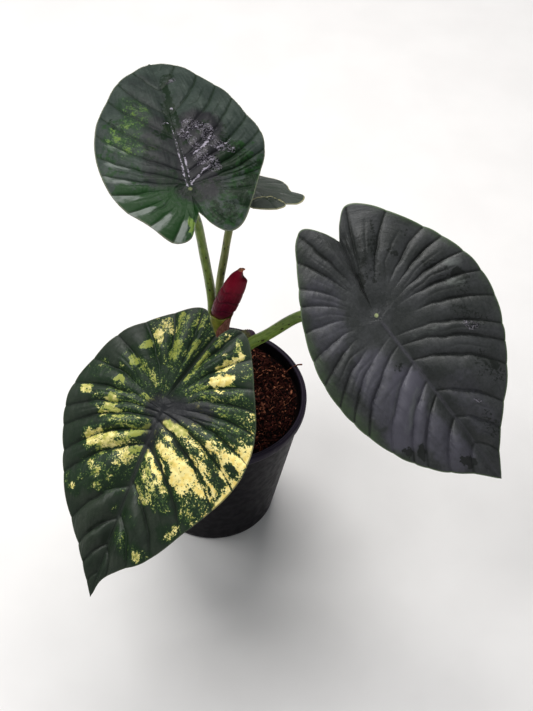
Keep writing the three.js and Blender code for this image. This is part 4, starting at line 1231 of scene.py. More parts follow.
def stalk_rings(name):
    """Circles along the path, with the place and the share of the length at each point.

    The radius swells at the foot, flares at the disc, has a seam and is faintly uneven.
    """
    stalk = STALKS[name]
    path = stalk_path(name, STALK["rings"])
    _, across, up = frames_along(path, np.array([1.0, 0, 0]))
    t = np.linspace(0, 1, STALK["rings"])[:, None]
    swell = np.maximum(0, 1 - t / STALK["swell_reach"]) ** 1.5
    slim = stalk["top_radius"] * (1 + STALK["slimming"] * (1 - t))
    rest = stalk["foot_radius"] - (1 + STALK["slimming"]) * stalk["top_radius"]
    radius = slim + rest * swell + STALK["flare"] * step(t, STALK["flare_from"], 1)
    angle = round_angles(STALK["sides"])
    run = turned_from(angle, stalk["seam"]) * radius
    seam = SEAM["lip"] * np.exp(-((np.abs(run) - SEAM["lip_at"]) / SEAM["lip_width"]) ** 2)
    seam = (seam - SEAM["groove"] * np.exp(-(run / SEAM["width"]) ** 2)) * (
        1 - step(t, SEAM["top_share"] - SEAM["fade"], SEAM["top_share"]))
    radius = radius + seam + 0.06 * np.sin(3 * angle + 9 * t) + 0.05 * np.sin(40 * t + 2 * angle)
    rings = rings_about(path, across, up, radius * np.cos(angle), radius * np.sin(angle))
    length = np.linalg.norm(np.diff(path, axis=0), axis=1).sum()
    flow = np.dstack([angle * stalk["foot_radius"] + 0 * t, t * length + 0 * angle, 0 * radius])
    return rings, flow, t + 0 * angle


# %% Stalk finish
def stalk_material():
    """Light green skin, yellower near the foot, with fine streaks and scattered brown flecks."""
    f = Finish("stalk_tissue")
    streaky = f.stretch(f.stored_place("flow"), (1.0, 0.25, 1.0))
    streak = f.ramp(f.noise(1.6, detail=4, place=streaky), 0.35, 0.65)
    skin = f.blend(streak, tone(92, 120, 48), tone(120, 146, 64))
    skin = f.blend(f.times(f.stored("young"), 0.8), skin, tone(150, 150, 96))
    skin = f.blend(f.ramp(f.stored("share"), 0.1, 0.45, 0.55, 0), skin, tone(130, 138, 70))
    skin = f.blend(f.ramp(f.noise(12), 0.45, 0.7, 0, 0.5), skin, tone(74, 96, 42))
    longer = f.stretch(f.stored_place("flow"), (1.0, 0.55, 1.0))
    chance = f.node("ShaderNodeSeparateColor", {
        "Color": f.cells(2.9, "Color", place=longer)}).outputs["Red"]
    reach = f.ramp(chance, 0.4, 1.0, 0.0, 0.36)
    fleck = f.math("LESS_THAN", f.cells(2.9, place=longer), reach)
    skin = f.blend(f.times(fleck, 0.92), skin, tone(30, 20, 16))
    normal = f.bump(f.noise(0.8, detail=3, place=streaky), 0.08, 0.6)
    rough = f.ramp(f.noise(3), 0.3, 0.7, 0.34, 0.46)
    return f.finish(skin, rough, normal, subsurface_weight=0.08, subsurface_scale=0.002,
                    specular_ior_level=0.2)


# %% Stalks
STALK_FINISH = stalk_material()
for name, stalk in STALKS.items():
    rings, flow, share = stalk_rings(name)
    make_tube(f"petiole_{name}", rings, STALK_FINISH, f"stalk_{name}",
              {"flow": flow, "share": share, "young": np.full(share.shape, stalk["young"])})

# %% [markdown]
# ## The flap on the right stalk
# The sheathing foot of the right stalk ends in a small tongue that stands off it. A squashed
# sphere, bent along its length and wavy at its edge, gives it. Its outer end is purple.

# %% Flap
FLAP = {"at": (15.4, 14.2, 152.4), "along": (0.845, 0, 0.534), "up": (-0.45, 0.55, 0.7),
        "half": (6.4, 1.5, 4.6), "bend": 0.025, "wavy": 0.05, "thinner": 0.45, "pole": 0.02}


def flap_rings(rows=60, sides=72):
    """A sphere scaled to three half sizes, bent towards the stalk at both ends.

    Also returned is the share of the half length, from -1 at the stalk to 1 at the outer end.
    """
    along = np.array(FLAP["along"]) / np.linalg.norm(FLAP["along"])
    thin = np.cross(FLAP["up"], along)
    thin /= np.linalg.norm(thin)
    up = np.cross(along, thin)
    polar = np.linspace(FLAP["pole"], np.pi - FLAP["pole"], rows)[:, None]
    angle = round_angles(sides)
    half_x, half_thin, half_up = FLAP["half"]
    x = -half_x * np.cos(polar) + 0 * angle
    edge = np.sin(polar) * (1 + FLAP["wavy"] * np.sin(5 * x))
    across = half_up * edge * np.cos(angle)
    out = half_thin * edge * np.sin(angle) * (1 - FLAP["thinner"] * (across / half_up) ** 2)
    out = out + FLAP["bend"] * (x ** 2 - across ** 2)
    at = np.array(FLAP["at"])
    rings = at + x[..., None] * along + across[..., None] * up + out[..., None] * thin
    return rings[:, ::-1], x[:, ::-1] / half_x


def flap_material():
    """Speckled brown-green tissue that turns purple at its outer end."""
    f = Finish("flap_tissue")
    skin = f.blend(f.ramp(f.noise(1.2, detail=4), 0.4, 0.62), tone(104, 104, 62), tone(74, 62, 44))
    purple = f.ramp(f.plus(f.stored("end"), f.noise(2.0)), 0.75, 1.25)
    skin = f.blend(purple, skin, tone(84, 62, 84))
    normal = f.bump(f.noise(0.7, detail=4), 0.12, 0.7)
    return f.finish(skin, 0.45, normal)


rings, end = flap_rings()
make_tube("petiole_right_flap", rings, flap_material(), fields={"end": end})

# %% [markdown]
# ## The bud sheath
# A new leaf waits inside a red sheath. The sheath is an oval carried up a leaning path; its sizes
# are given at even steps and smoothed between. Shallow creases cross it and fine ribs run along
# it. The sheath overlaps on its right side: that fold is a flattened keel, which ends in a step
# just below the tip. A small hooked point, dry and brown, sits on the top.

# %% Bud dimensions
BUD = {
    "path": [(-1.6, 17.6, 126), (-1.7, 17.4, 150), (-2.3, 17.2, 168), (2.2, 15.7, 188),
             (5.8, 15.4, 200.6), (7.9, 15.6, 208.2), (8.8, 14.9, 213.6)],
    "half_widths": [2.6, 3.0, 3.2, 3.5, 4.2, 5.3, 6.6, 7.1, 7.1, 6.8, 6.2, 4.9, 1.3],
    "half_depths": [2.6, 2.9, 3.0, 3.2, 3.6, 4.2, 4.9, 5.2, 5.3, 5.0, 4.3, 3.1, 1.1],
    "smoothing": 0.03, "shown": (0.5, 0.58, 0.9, 1.0), "keel": 1.4, "keel_width": 0.5,
    "keel_at": -0.15, "flank_width": 0.85, "crease": 0.3, "creases": 9, "creases_to": (0.74, 0.82),
    "ribs": 22, "rib": 0.07, "step": (0.905, 0.93), "step_to": (0.95, 0.995), "step_depth": 1.9,
    "step_width": 0.9,
}
BUD_HOOK = {"path": [(8.3, 15.2, 211.4), (9.5, 14.6, 214.2), (11, 13.6, 215.2)],
            "radii": (1.3, 0.6), "rings": 16, "sides": 20}
FINE_STEPS, LINE_STEPS = 801, 400


# %% Bud surface
def bud_sizes(t):
    """Half width and half depth at shares t of the path, smoothed by a sliding mean."""
    fine = np.linspace(0, 1, FINE_STEPS)
    window = np.hanning(int(FINE_STEPS * BUD["smoothing"] * 2) | 1)
    window /= window.sum()
    sizes = []
    for key in ("half_widths", "half_depths"):
        raw = np.interp(fine, np.linspace(0, 1, len(BUD[key])), BUD[key])
        padded = np.pad(raw, len(window) // 2, "edge")
        sizes.append(np.interp(t, fine, np.convolve(padded, window, "valid")))
    return sizes


def bud_rings(t, grow, angle):
    """Ovals round the bud at shares t and the given angles, grown by a distance."""
    even = np.linspace(0, 1, LINE_STEPS)
    line = smooth_path(BUD["path"], even, 0.5)
    _, across, up = frames_along(line, np.array([1.0, 0, 0]))
    middle, across, up = (np.stack([np.interp(t, even, values[:, k]) for k in range(3)], -1)
                          for values in (line, across, up))
    width, depth = bud_sizes(t)
    x = (width[:, None] + grow) * np.cos(angle)
    y = (depth[:, None] + grow) * np.sin(angle)
    return rings_about(middle, across, up, x, y)


def bud_surface(rows=150, sides=84):
    """The sheath's rings: an oval grown by its keel and ribs, less its creases and its step.

    Also returned are the share of the path, the creases and the step, where the finish paints
    shade, and the keel's flank.
    """
    t = np.linspace(0, 1, rows)[:, None]
    angle = round_angles(sides)
    shown = step(t, *BUD["shown"][:2]) * (1 - step(t, *BUD["shown"][2:]))
    beside_keel = turned_from(angle, BUD["keel_at"])
    below_step = 1 - step(t, *BUD["step"])
    keel = BUD["keel"] * np.exp(-(beside_keel / BUD["keel_width"]) ** 2) * shown * below_step
    wander = 0.5 * np.sin(2 * angle + 1) + 0.35 * np.sin(5 * angle) + 0.3 * np.sin(3 * angle + 2)
    phase = BUD["creases"] * 2 * np.pi * t + wander * 1.3
    fold = (0.5 + 0.5 * np.cos(phase)) ** 12 * shown * (1 - step(t, *BUD["creases_to"]))
    notch = np.exp(-(beside_keel / BUD["step_width"]) ** 2) * (1 - below_step) * (
        1 - step(t, *BUD["step_to"]))
    ribs = BUD["rib"] * np.sin(BUD["ribs"] * angle) * shown
    grow = keel + ribs - BUD["crease"] * fold - BUD["step_depth"] * notch
    flank = np.exp(-(beside_keel / BUD["flank_width"]) ** 2) * below_step
    return bud_rings(t[:, 0], grow, angle), {
        "share": t + 0 * angle, "fold": np.maximum(0.6 * fold, 0.9 * notch), "flank": flank}


# %% Bud finish
def bud_material():
    """Crimson tissue, brighter to the top, with painted shade in its creases and at its step, brown
    at the very point.
    """
    f = Finish("bud_tissue")
    share = f.stored("share")
    streak = f.ramp(f.noise(2.2, detail=5, roughness=0.6), 0.35, 0.68)
    skin = f.blend(streak, tone(84, 8, 30), tone(112, 12, 38))
    skin = f.blend(f.ramp(f.noise(0.9, detail=4), 0.5, 0.7, 0, 0.4), skin, tone(70, 10, 34))
    skin = f.blend(f.ramp(share, 0.5, 0.72, 0.75, 0), skin, tone(74, 14, 36))
    skin = f.blend(f.ramp(share, 0.68, 0.88, 0, 0.6), skin, tone(160, 12, 46))
    skin = f.blend(f.times(f.stored("flank"), 0.7), skin, tone(92, 30, 44))
    # Painted shade in the creases and at the step below the point.
    skin = f.blend(f.stored("fold"), skin, tone(44, 4, 18))
    skin = f.blend(f.ramp(share, 0.47, 0.53, 0.7, 0), skin, tone(96, 62, 44))
    skin = f.blend(f.ramp(share, 0.985, 0.998), skin, tone(190, 122, 96))
    normal = f.bump(f.noise(0.7, detail=4, roughness=0.6), 0.12, 0.7)
    rough = f.ramp(f.noise(2.0), 0.3, 0.7, 0.3, 0.44)
    return f.finish(skin, rough, normal, subsurface_weight=0.1, subsurface_scale=0.003,
                    specular_ior_level=0.08)


# %% Bud and its point
def thinning_tube(shape, side):
    """A circle carried along a short smooth path, its radius changing evenly on the way."""
    path = smooth_path(shape["path"], np.linspace(0, 1, shape["rings"]), 0.5)
    _, across, up = frames_along(path, np.array(side, float))
    radius = np.linspace(*shape["radii"], shape["rings"])[:, None]
    angle = round_angles(shape["sides"])
    return rings_about(path, across, up, radius * np.cos(angle), radius * np.sin(angle))


BUD_FINISH = bud_material()
rings, fields = bud_surface()
make_tube("bud", rings, BUD_FINISH, "bud_sheath", fields)
hook = thinning_tube(BUD_HOOK, (1, 0, 0))
plain = np.zeros(hook.shape[:2])
make_tube("bud_point", hook, BUD_FINISH,
          fields={"share": plain + 1, "fold": plain, "flank": plain})

# %% [markdown]
# ## The two sheaths round the bud's foot
# The bud comes up out of a green cup, the torn sheath of the last leaf. A dry sheath wraps the
# right half of it. Both are thin walls: a ring of points runs up the outside of the cup, over its
# mouth and down its inside, while the dry one is a strip with an outer and an inner face.

# %% Sheath dimensions
# Shares low and high are of the bud's path. The ends are a height and a radius each.
CUP = {"ends": ((122.4, 3.9), (125.5, 3.0)), "clear": 0.3, "wall": 0.6, "low": 0.03,
       "high": 0.495, "rows": 44, "tilt": 1.8, "wave": 20}
WRAP = {"wall": 0.5, "gap": 1.2, "low": 0.2, "high": 0.49, "from": -118.0, "top_from": -62.0,
        "to": 35.0, "rise": 3.0}


# %% Sheath walls
def cup_rings(sides=80):
    """Up the outside, over the wavy mouth and down the inside of the cup."""
    angle = round_angles(sides)
    mouth = 0.03 * np.sin(2 * angle + 0.7) + 0.02 * np.sin(5 * angle)
    level = mouth * CUP["wave"] + CUP["tilt"] * (np.cos(angle) - 0.4)
    share = np.linspace(CUP["low"], CUP["high"], CUP["rows"])
    parts = []
    for t, grow in ((share, CUP["clear"] + CUP["wall"]), (share[::-1], CUP["clear"])):
        rings = bud_rings(t, grow + 0 * t[:, None], angle)
        rings[..., 2] += level * step(t, 0.3, CUP["high"])[:, None]
        parts.append(rings)
    x, y, _ = BUD["path"][0]
    base, floor = (np.dstack([x + radius * np.cos(angle), y + radius * np.sin(angle),
                              z + 0 * angle]) for z, radius in CUP["ends"])
    return np.concatenate([base, *parts, floor])


def wrap_rings(steps=60, rows=40):
    """Round the outside of the strip and back round its inside, with a torn, wavy top."""
    t = np.linspace(WRAP["low"], WRAP["high"], rows)
    up = (t - WRAP["low"])[:, None] / (WRAP["high"] - WRAP["low"])
    first = np.radians(WRAP["from"] + (WRAP["top_from"] - WRAP["from"]) * step(up, 0.35, 1))
    last = np.radians(WRAP["to"])
    parts = []
    for grow in (WRAP["gap"] + WRAP["wall"], WRAP["gap"]):
        share = np.linspace(0, 1, steps)[None]
        flare = 0.5 * step(share, 0.85, 1) + 0.12 * np.sin(30 * share)
        rings = bud_rings(t, grow + flare + 0 * t[:, None], first + (last - first) * share)
        tear = 0.7 * np.sin(17 * share) + 0.5 * np.sin(41 * share + 1)
        rings[..., 2] += up * share * WRAP["rise"] + up ** 3 * tear
        parts.append(rings)
    return np.concatenate([parts[0], parts[1][:, ::-1]], 1)


# %% Sheath finishes
def green_sheath_material():
    """Yellow-green tissue with brown patches, and a fine bumpy grain."""
    f = Finish("green_sheath_tissue")
    skin = f.blend(f.ramp(f.noise(4, detail=4), 0.35, 0.65), tone(98, 106, 34), tone(126, 128, 44))
    skin = f.blend(f.ramp(f.noise(1.2, detail=5), 0.52, 0.7, 0, 0.7), skin, tone(98, 70, 44))
    normal = f.bump(f.noise(0.8, detail=4), 0.1, 0.6)
    return f.finish(skin, 0.42, normal, subsurface_weight=0.08, subsurface_scale=0.002,
                    specular_ior_level=0.3)


def dry_sheath_material():
    """Papery brown-pink tissue with a pale edge and long fibres."""
    f = Finish("dry_sheath_tissue")
    long_ways = f.node("ShaderNodeMapping", {"Vector": f.place, "Scale": (1, 1, 0.15)})
    fibres = f.ramp(f.noise(0.8, detail=4, place=long_ways.outputs[0]), 0.35, 0.65)
    skin = f.blend(fibres, tone(112, 64, 54), tone(146, 98, 82))
    skin = f.blend(f.stored("edge"), skin, tone(206, 190, 150))
    skin = f.blend(f.ramp(f.noise(2.5, detail=4), 0.55, 0.7, 0, 0.6), skin, tone(86, 52, 40))
    return f.finish(skin, 0.6, f.bump(fibres, 0.12, 0.8), specular_ior_level=0.25)


# %% Sheaths
rings = cup_rings()
make_tube("cup", rings, green_sheath_material(), "green_sheath")
rings = wrap_rings()
half = np.linspace(0, 1, rings.shape[1] // 2)
edge = step(np.r_[half, half[::-1]], 0.9, 1.0)[None] + np.zeros(rings.shape[:2])
make_tube("wrap", rings, dry_sheath_material(), "dry_sheath",
          {"edge": edge}, closed_line=True)

# %% [markdown]
# ## The crown
# The stalks spring from a short thick crown, mostly hidden in the coir. It is turned about its own
# upright axis, with ring scars where old leaves stood.

# %% Crown
CROWN = {"x": -1.5, "y": 19.5, "low": 74.0, "radius": 4.4, "top": 122.0, "taper": 2.2,
         "taper_height": 7, "scar": 0.35, "scar_pace": 1.5, "lump": 0.15}


def crown_rings(rows=70, sides=48):
    """Circles whose radius follows the solid's profile, with ring scars and slight lumps."""
    z = np.linspace(CROWN["low"], CROWN["top"], rows)[:, None]
    angle = round_angles(sides)
    radius = CROWN["radius"] - CROWN["taper"] * step(
        z, CROWN["top"] - CROWN["taper_height"], CROWN["top"])
    scars = (0.5 + 0.5 * np.cos(z * CROWN["scar_pace"] + np.sin(angle))) ** 8
    radius = radius - CROWN["scar"] * scars + CROWN["lump"] * np.sin(3 * angle + 0.2 * z)
    return np.dstack([CROWN["x"] + radius * np.cos(angle), CROWN["y"] + radius * np.sin(angle),
                      z + 0 * angle])


def crown_material():
    """Brown-green corky tissue."""
    f = Finish("crown_tissue")
    skin = f.blend(f.ramp(f.noise(2, detail=5), 0.4, 0.65), tone(104, 92, 58), tone(70, 50, 34))
    return f.finish(skin, 0.7, f.bump(f.noise(0.8, detail=5), 0.2, 0.8))


make_tube("crown_core", crown_rings(), crown_material(), "crown")

# %% [markdown]
# ## The nursery pot
# A thin tapered pot is a profile turned about its axis: up the outside, over the rolled lip with
# its two fine lines, and down the inside to the floor. Drain holes are cut through the floor with
# a Boolean modifier, which is then applied.

# %% Pot dimensions
POT = {"rim": 60.0, "foot": 44.5, "height": 110.0, "wall": 1.4, "floor": 2.0, "lip_height": 7.0,
       "lip_out": 2.2, "sides": 144}
DRAIN = {"count": 6, "radius": 4.0, "ring": 31.0, "sides": 24}


def pot_radius(z):
    """The outside of the tapered wall at a height."""
    under = POT["rim"] - POT["lip_out"]
    return POT["foot"] + (under - POT["foot"]) * z / (POT["height"] - POT["lip_height"])


# %% Pot profile
def pot_profile():
    """Radius and height along the profile, from the middle of the base to that of the floor."""
    rim, top, foot = POT["rim"], POT["height"], POT["foot"]
    lip = top - POT["lip_height"]
    inner = pot_radius(lip) - POT["wall"]
    low = np.linspace(1.5, lip, 30)
    floor_z = POT["floor"]
    outside = [(0.5, 0.6), (foot - 6, 0.6), (foot - 5, 0), (foot - 1.5, 0), (foot - 0.5, 0.4)]
    outside += [(pot_radius(z), z) for z in low]
    rolled = [(rim - 1.2, lip + 0.25), (rim - 0.5, lip + 0.6), (rim - 0.15, lip + 1.1),
              (rim, lip + 1.7), (rim, top - 1.6), (rim - 0.1, top - 1.0), (rim - 0.4, top - 0.45),
              (rim - 0.9, top - 0.08), (rim - 1.3, top), (rim - 1.6, top - 0.1),
              (rim - 1.8, top - 0.5), (rim - 2.0, top - 0.5), (rim - 2.2, top - 0.12),
              (rim - 2.6, top - 0.05), (inner + 0.4, top - 0.2), (inner, top - 0.9)]
    inside = [(inner - 0.1, lip)]
    inside += [(pot_radius(z) - POT["wall"], z) for z in np.linspace(lip - 2, floor_z + 2, 26)]
    inside += [(pot_radius(floor_z) - POT["wall"] - 1, floor_z + 0.3),
               (pot_radius(floor_z) - POT["wall"] - 2.5, floor_z), (0.5, floor_z)]
    return np.array(outside + rolled + inside)


def lathe(profile, sides):
    """Rings of a profile turned about the upright axis."""
    angle = round_angles(sides)
    r, z = profile[:, :1], profile[:, 1:]
    return np.dstack([r * np.cos(angle), r * np.sin(angle), z + 0 * angle])


# %% Drain holes
def drill_holes(piece):
    """Cuts the drain holes with one Boolean modifier and applies it."""
    work = bmesh.new()
    for i in range(DRAIN["count"]):
        angle = 2 * np.pi * (i + 0.5) / DRAIN["count"]
        x, y = DRAIN["ring"] * np.cos(angle), DRAIN["ring"] * np.sin(angle)
        place = Matrix.Translation(Vector((x, y, POT["floor"] / 2)) * MM)
        bmesh.ops.create_cone(work, cap_ends=True, segments=DRAIN["sides"], matrix=place,
                              radius1=DRAIN["radius"] * MM, radius2=DRAIN["radius"] * MM,
                              depth=3 * POT["floor"] * MM)
    mesh = bpy.data.meshes.new("drills")
    work.to_mesh(mesh)
    work.free()
    drills = bpy.data.objects.new("drills", mesh)
    SCENE.collection.objects.link(drills)
    cut = piece.modifiers.new("drain", "BOOLEAN")
    cut.operation, cut.object, cut.solver = "DIFFERENCE", drills, "EXACT"
    done = bpy.data.meshes.new_from_object(piece.evaluated_get(
        bpy.context.evaluated_depsgraph_get()))
    piece.modifiers.clear()
    piece.data = done
    bpy.data.objects.remove(drills)
    print("pot with holes:", len(done.polygons), "faces")


# %% Pot finish
def pot_material():
    """Black plastic, greyer where it is scuffed, with a painted sheen on its lip, faint turning
    lines and coir dust.
    """
    f = Finish("pot_plastic")
    scuff = f.ramp(f.noise(9, detail=6, roughness=0.65), 0.5, 0.72, 0, 0.6)
    skin = f.blend(scuff, (0.004, 0.003, 0.005, 1), (0.010, 0.008, 0.012, 1))
    x, y, z = f.node("ShaderNodeSeparateXYZ", {0: f.place}).outputs
    radius = f.math("SQRT", f.plus(f.times(x, x), f.times(y, y)))
    # The top and the outer edge of the rolled lip are lighter purple-grey: a painted sheen.
    lip_top_sheen = f.ramp(z, (POT["height"] - 1.4) * MM, (POT["height"] - 0.6) * MM)
    lip_outer_sheen = f.ramp(radius, (POT["rim"] - 1.6) * MM, (POT["rim"] - 0.8) * MM)
    lip = f.math("MAXIMUM", lip_top_sheen, lip_outer_sheen)
    skin = f.blend(f.times(lip, 0.8), skin, tone(38, 32, 46))
    dust = f.ramp(f.noise(1.5, detail=5, roughness=0.7), 0.66, 0.78, 0, 0.3)
    skin = f.blend(dust, skin, tone(80, 52, 38))
    lines = f.node("ShaderNodeTexWave", {"Vector": f.place, "Scale": 260.0, "Distortion": 0.4},
                   wave_type="BANDS", bands_direction="Z").outputs["Fac"]
    normal = f.bump(lines, 0.03, 0.35)
    normal = f.bump(f.noise(0.6, detail=3), 0.03, 0.4, below=normal)
    rough = f.ramp(f.noise(5, detail=5), 0.3, 0.7, 0.42, 0.58)
    return f.finish(skin, rough, normal, specular_ior_level=0.1)


# %% Pot
pot = make_tube("nursery_pot", lathe(pot_profile(), POT["sides"]), pot_material(), "pot")
drill_holes(pot)

# %% [markdown]
# ## The coir
# The pot is filled with coconut coir: chips, grains and fibres, red-brown and dark between. The
# filling is one closed body with an uneven face. Thousands of small chips and grains lie tilted
# in that face, and curly fibres and a few stiff twigs lie over them. All are placed by a seeded
# rule and kept off the stalks, and each kind is joined into one piece.

# %% Coir body
COIR = {"edge_level": 102.0, "mid_level": 102.2, "tilt": 0.8, "clear": 0.4, "rows": 56,
        "sides": 150}


def coir_level(x, y):
    """Height of the filling's face: mounded towards the middle and uneven."""
    r = np.hypot(x, y)
    edge, middle = COIR["edge_level"], COIR["mid_level"]
    smooth = np.interp(r, [0, 30, 44, 53.5, 55.4],
                       [middle, middle - 0.3, edge + 0.8, edge + 0.4, edge - 1])
    smooth = smooth + COIR["tilt"] * (x - y) / 75
    lumps = 1.6 * rumple(x, y, 16, 5) + 1.2 * rumple(x, y, 6, 6)
    return smooth + lumps * (1 - step(r, 50, 55))


def coir_radius(z):
    """The filling's radius at a height: it just clears the pot's wall."""
    return pot_radius(z) - POT["wall"] - COIR["clear"]


def coir_body():
    """Rings: from the middle of the base up the wall, then in across the uneven face."""
    low, top = POT["floor"] + COIR["clear"], COIR["edge_level"] - 1
    wall = [(0.5, low), (coir_radius(low) - 2.2, low), (coir_radius(low + 1.2) - 0.2, low + 1.2)]
    wall += [(coir_radius(z), z) for z in np.linspace(low + 3, top, 12)]
    wall = lathe(np.array(wall), COIR["sides"])
    r = np.linspace(coir_radius(top) - 0.4, 0.4, COIR["rows"])[:, None]
    angle = round_angles(COIR["sides"])
    x, y = r * np.cos(angle), r * np.sin(angle)
    face = np.dstack([x, y, coir_level(x, y)])
    return np.concatenate([wall, face])


# %% Coir finish
def coir_material():
    """Red-brown fibre dust: a near-black ground, which is partly painted shade between the pieces,
    with lighter grains, told apart piece by piece.
    """
    f = Finish("coir_fibre")
    own = f.plus(f.stored("tint"), f.noise(0.9, detail=4), 0.5)
    skin = f.blend(f.ramp(own, 0.2, 0.8), tone(10, 4, 4), tone(60, 28, 23))
    skin = f.blend(f.ramp(own, 0.95, 1.3), skin, tone(150, 94, 70))
    normal = f.bump(f.noise(0.5, detail=5, roughness=0.7), 0.25, 0.9)
    return f.finish(skin, 0.85, normal, specular_ior_level=0.05)


COIR_FINISH = coir_material()
body = coir_body()
# The ground gets the lowest tint, near black: dark coir, with painted shade in the gaps between the
# loose pieces.
make_tube("coir_ground", body, COIR_FINISH, "coir",
          {"tint": np.full(body.shape[:2], -0.05)})

# %% Loose coir dimensions
CHIP = {"count": 1300, "reach": 53.0, "seed": 41, "length": (1.6, 7.5), "width": (0.9, 3.2),
        "height": (0.6, 1.9), "lift": (-0.3, 1.0), "shift": 0.8}
GRAIN = {"count": 3600, "reach": 53.4, "seed": 42, "length": (0.5, 2.4), "width": (0.4, 1.5),
         "height": (0.4, 1.2), "lift": (0.1, 1.7), "shift": 0.9}
FIBRE = {"count": 230, "seed": 43, "length": (5.0, 20.0), "radius": 0.13, "points": 8,
         "bend": 0.28, "lift": 0.7, "most_arch": 2.2, "thin_end": 0.4, "tint": (0.7, 1.15)}
TWIG = {**FIBRE, "count": 26, "seed": 44, "length": (7.0, 17.0), "radius": 0.34, "bend": 0.09,
        "tint": (0.9, 1.3)}
GOLDEN_ANGLE, OFF_STALKS = 2.39996, 0.8
WALL_LIES_ALONG, FIBRE_REACH, FIBRE_LIMIT = 46, 49, 53.5


# %% Places on the coir
def off_stalks(x, y, clear):
    """True where a place keeps that distance from every stalk and from the crown."""
    keep = np.hypot(x - CROWN["x"], y - CROWN["y"]) > CROWN["radius"] + clear
    for stalk in STALKS.values():
        foot_x, foot_y = stalk["foot"]
        keep &= np.hypot(x - foot_x, y - foot_y) > stalk["foot_radius"] + clear
    return keep


def scatter(count, reach, random, shift=0.8):
    """Places on a sunflower spiral, each moved a little at random."""
    i = np.arange(count)
    r, angle = reach * np.sqrt((i + 0.5) / count), i * GOLDEN_ANGLE
    x = r * np.cos(angle) + random.normal(0, shift, count)
    y = r * np.sin(angle) + random.normal(0, shift, count)
    keep = off_stalks(x, y, OFF_STALKS) & (np.hypot(x, y) < reach)
    return x[keep], y[keep]


# %% Chips and grains
def chips(kind):
    """Boxes with jittered corners: sizes, three turns and a place for each, as whole arrays.

    Small sizes are the most common. Chips near the wall lie along it.
    """
    random = np.random.default_rng(kind["seed"])
    x, y = scatter(kind["count"], kind["reach"], random, kind["shift"])
    n = len(x)
    skew = random.beta(1.2, 2.6, (3, n))
    size = [low + (high - low) * k for (low, high), k in zip(
        (kind["length"], kind["width"], kind["height"]), skew)]
    corners = np.array([(a, b, c) for a in (-1, 1) for b in (-1, 1) for c in (-1, 1)]) / 2
    box = corners[None] * np.stack(size, -1)[:, None] * random.uniform(0.55, 1.1, (n, 8, 3))
    heading = random.uniform(0, 2 * np.pi, n)
    near_wall = np.hypot(x, y) > WALL_LIES_ALONG
    heading[near_wall] = (np.arctan2(y, x) + np.pi / 2 + random.normal(0, 0.3, n))[near_wall]
    pitch, roll = random.normal(0, 0.4, n), random.normal(0, 0.7, n)
    for first, second, turn in ((1, 2, roll), (0, 2, pitch), (0, 1, heading)):
        c, s = np.cos(turn)[:, None], np.sin(turn)[:, None]
        a, b = box[..., first], box[..., second]
        box[..., first], box[..., second] = a * c - b * s, a * s + b * c
    lift = random.uniform(*kind["lift"], n)
    box += np.stack([x, y, coir_level(x, y) + lift], -1)[:, None]
    quads = np.array([(0, 1, 3, 2), (4, 6, 7, 5), (0, 4, 5, 1), (2, 3, 7, 6), (0, 2, 6, 4),
                      (1, 5, 7, 3)])
    faces = (8 * np.arange(n)[:, None, None] + quads[None]).reshape(-1, 4)
    tint = random.beta(1.3, 2.6, n) + 0.6 * (random.uniform(0, 1, n) > 0.9)
    return box.reshape(-1, 3), faces, np.repeat(tint, 8)


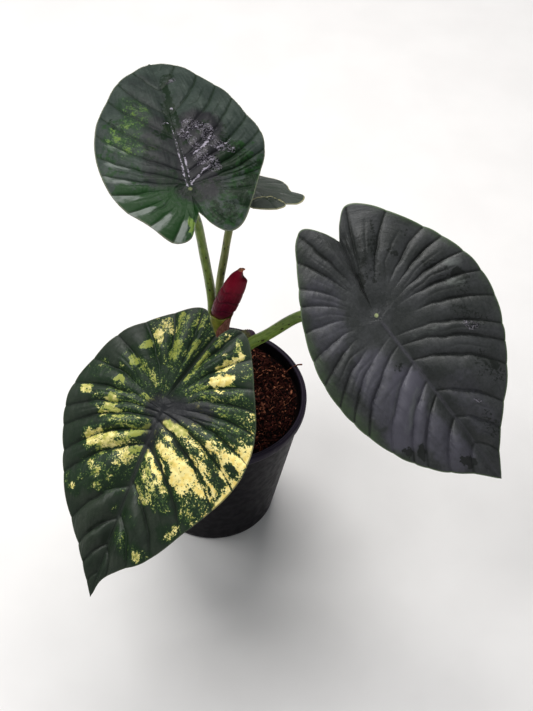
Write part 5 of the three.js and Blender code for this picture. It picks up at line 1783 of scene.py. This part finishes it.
# %% Fibres and twigs
def fibres(kind):
    """Thin three-sided tubes along curly lines that lie on the face and arch up off it."""
    random = np.random.default_rng(kind["seed"])
    x, y = scatter(kind["count"], FIBRE_REACH, random)
    n, points = len(x), kind["points"]
    length = random.uniform(*kind["length"], n) * random.uniform(0.4, 1, n)
    heading = random.uniform(0, 2 * np.pi, n)[:, None] + np.cumsum(
        random.normal(0, kind["bend"], (n, points)), 1)
    pace = (length / points)[:, None]
    px = x[:, None] + np.cumsum(pace * np.cos(heading), 1)
    py = y[:, None] + np.cumsum(pace * np.sin(heading), 1)
    limit = np.minimum(1, FIBRE_LIMIT / np.hypot(px, py))
    px, py = px * limit, py * limit
    arch = random.uniform(0, kind["most_arch"], n)[:, None]
    arch = arch * np.sin(np.linspace(0, np.pi, points))[None]
    pz = coir_level(px, py) + kind["lift"] + arch
    line = np.stack([px, py, pz], -1)
    side = np.stack([-np.sin(heading), np.cos(heading), 0 * heading], -1)
    radius = kind["radius"] * random.uniform(0.6, 1.6, n)[:, None] * np.linspace(
        1, kind["thin_end"], points)
    rings = []
    for k in range(3):
        angle = 2 * np.pi * k / 3
        ring = line + radius[..., None] * np.cos(angle) * side
        ring[..., 2] += radius * np.sin(angle)
        rings.append(ring)
    grid = np.stack(rings, 2)
    index = np.arange(n * points * 3).reshape(n, points, 3)
    quads = [np.stack([index[:, :-1, k], index[:, :-1, (k + 1) % 3], index[:, 1:, (k + 1) % 3],
                       index[:, 1:, k]], -1).reshape(-1, 4) for k in range(3)]
    ends = [tuple(row[::-1]) for row in index[:, 0, :]] + [tuple(row) for row in index[:, -1, :]]
    tint = np.repeat(random.uniform(*kind["tint"], n), points * 3)
    return grid.reshape(-1, 3), [*np.vstack(quads).tolist(), *ends], tint


# %% Loose coir
for name, kind in (("coir_chips", CHIP), ("coir_grains", GRAIN)):
    points, faces, tint = chips(kind)
    make_piece(name, points, faces, COIR_FINISH, fields={"tint": tint},
               smooth=False)
for name, kind in (("coir_fibres", FIBRE), ("coir_twigs", TWIG)):
    points, faces, tint = fibres(kind)
    make_piece(name, points, faces, COIR_FINISH, fields={"tint": tint})

# %% [markdown]
# ## A straw over the rim
# One stiff straw, thicker to its end, leans out of the coir over the pot's lip. It is a tube like
# the bud's point: a circle carried along a short path.

# %% Straw
STRAW = {"path": [(44, 27.5, 104), (47.5, 28.8, 108), (51.5, 29.6, 111), (54.8, 29.2, 112.6)],
         "radii": (0.3, 0.6), "rings": 24, "sides": 10, "tint": 0.85}
rings = thinning_tube(STRAW, (0, 1, 0))
make_tube("straw", rings, COIR_FINISH,
          fields={"tint": np.full(rings.shape[:2], STRAW["tint"])})

# %% [markdown]
# ## The floor and the end
# The floor is a plain pale sheet, with a faint cloudiness so that it isn't dead flat in tone.

# %% Floor
FLOOR = 6.0
floor_mesh = bpy.data.meshes.new("floor")
floor_mesh.from_pydata([(-FLOOR, -FLOOR, 0), (FLOOR, -FLOOR, 0), (FLOOR, FLOOR, 0),
                        (-FLOOR, FLOOR, 0)], [], [(0, 1, 2, 3)])
floor_finish = Finish("floor")
speck = floor_finish.ramp(floor_finish.noise(60, detail=3), 0.3, 0.7)
floor_mesh.materials.append(floor_finish.finish(
    floor_finish.blend(speck, (0.80, 0.79, 0.78, 1), (0.83, 0.82, 0.81, 1)), 0.7))
floor = bpy.data.objects.new("floor", floor_mesh)
SCENE.collection.objects.link(floor)
